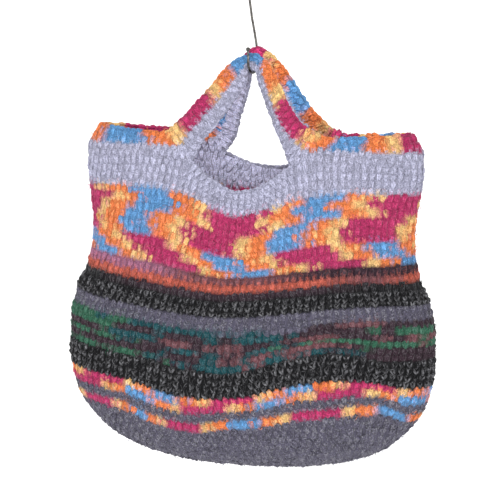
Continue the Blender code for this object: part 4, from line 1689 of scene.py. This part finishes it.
def fuzz_tree():
    """Scatters hairs over a cloth, each turned its own way about the cloth's normal."""
    tree, given = node_tree("raise_fuzz", (
        ("Hairs", "Collection"),
        ("Wool", "Material"),
        ("Density", "Float"),
        ("Tilt", "Float"),
        ("Seed", "Int"),
        ("Shade Seed", "Int"),
    ))
    fluff = add_node(tree, "GeometryNodeInputNamedAttribute", {"Name": "fluff"}, data_type="FLOAT")
    density = add_node(
        tree,
        "ShaderNodeMath",
        {0: given["Density"], 1: fluff.outputs["Attribute"]},
        operation="MULTIPLY",
    )
    scatter = add_node(
        tree,
        "GeometryNodeDistributePointsOnFaces",
        {"Mesh": given["Geometry"], "Density": density.outputs["Value"], "Seed": given["Seed"]},
    )
    placed = set_on_points(tree, given["Hairs"], HAIR_VARIANTS, given["Seed"], {
        "Points": scatter.outputs["Points"],
        "Rotation": scatter.outputs["Rotation"],
        "Scale": random_value(tree, "FLOAT", given["Seed"], dict(zip(("Min", "Max"), HAIR_SIZES))),
    })
    shaded = add_node(
        tree,
        "GeometryNodeStoreNamedAttribute",
        {"Geometry": placed, "Name": "hair_shade", "Value": random_value(tree, "FLOAT", given["Shade Seed"])},
        data_type="FLOAT",
        domain="INSTANCE",
    )
    tilt = given["Tilt"]
    other_tilt = add_node(tree, "ShaderNodeMath", {0: tilt, 1: -1.0}, operation="MULTIPLY").outputs["Value"]
    least = add_node(tree, "ShaderNodeCombineXYZ", {"X": other_tilt, "Y": other_tilt})
    most = add_node(tree, "ShaderNodeCombineXYZ", {"X": tilt, "Y": tilt, "Z": 2 * math.pi})
    real = turned_and_real(
        tree,
        shaded.outputs["Geometry"],
        least.outputs["Vector"],
        most.outputs["Vector"],
        given["Seed"],
    )
    return finish_tree(tree, real, given["Wool"])


def hair_material():
    """The wool's loose hairs, in the colour of the felt under them, each one darker or lighter."""
    material = wool_material("wool_hair", on_yarn=False, plain_colour="yarn_to", sheen=0.0)
    tree = material.node_tree
    base = tree.nodes["Principled BSDF"].inputs["Base Color"]
    shade = add_node(tree, "ShaderNodeAttribute", attribute_name="hair_shade").outputs["Fac"]
    feeds = {"Value": shade, "To Min": DARKEST_HAIR, "To Max": LIGHTEST_HAIR}
    brightness = add_node(tree, "ShaderNodeMapRange", feeds).outputs["Result"]
    grey = add_node(tree, "ShaderNodeCombineColor", {k: brightness for k in range(3)})
    shaded = add_node(
        tree,
        "ShaderNodeMix",
        {0: 1.0, 6: base.links[0].from_socket, 7: grey.outputs["Color"]},
        data_type="RGBA",
        blend_type="MULTIPLY",
    )
    tree.links.new(shaded.outputs[2], base)
    return material


fuzz = made_by_nodes(
    "wool_fuzz",
    cloth_data.copy(),
    fuzz_tree(),
    {
        "Hairs": hair_variants,
        "Wool": hair_material(),
        "Density": HAIRS_PER_SQUARE_METRE,
        "Tilt": HAIR_TILT,
        "Seed": FUZZ_SEED,
        "Shade Seed": FUZZ_SEED + 1,
    },
)
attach(fuzz, "root")

# The drafts of the stitches and hairs are copied into the pieces by now, and are put away
for spent in (felted_stitches, open_stitches, hair_variants):
    for pattern in list(spent.objects):
        bpy.data.objects.remove(pattern)
    bpy.data.collections.remove(spent)
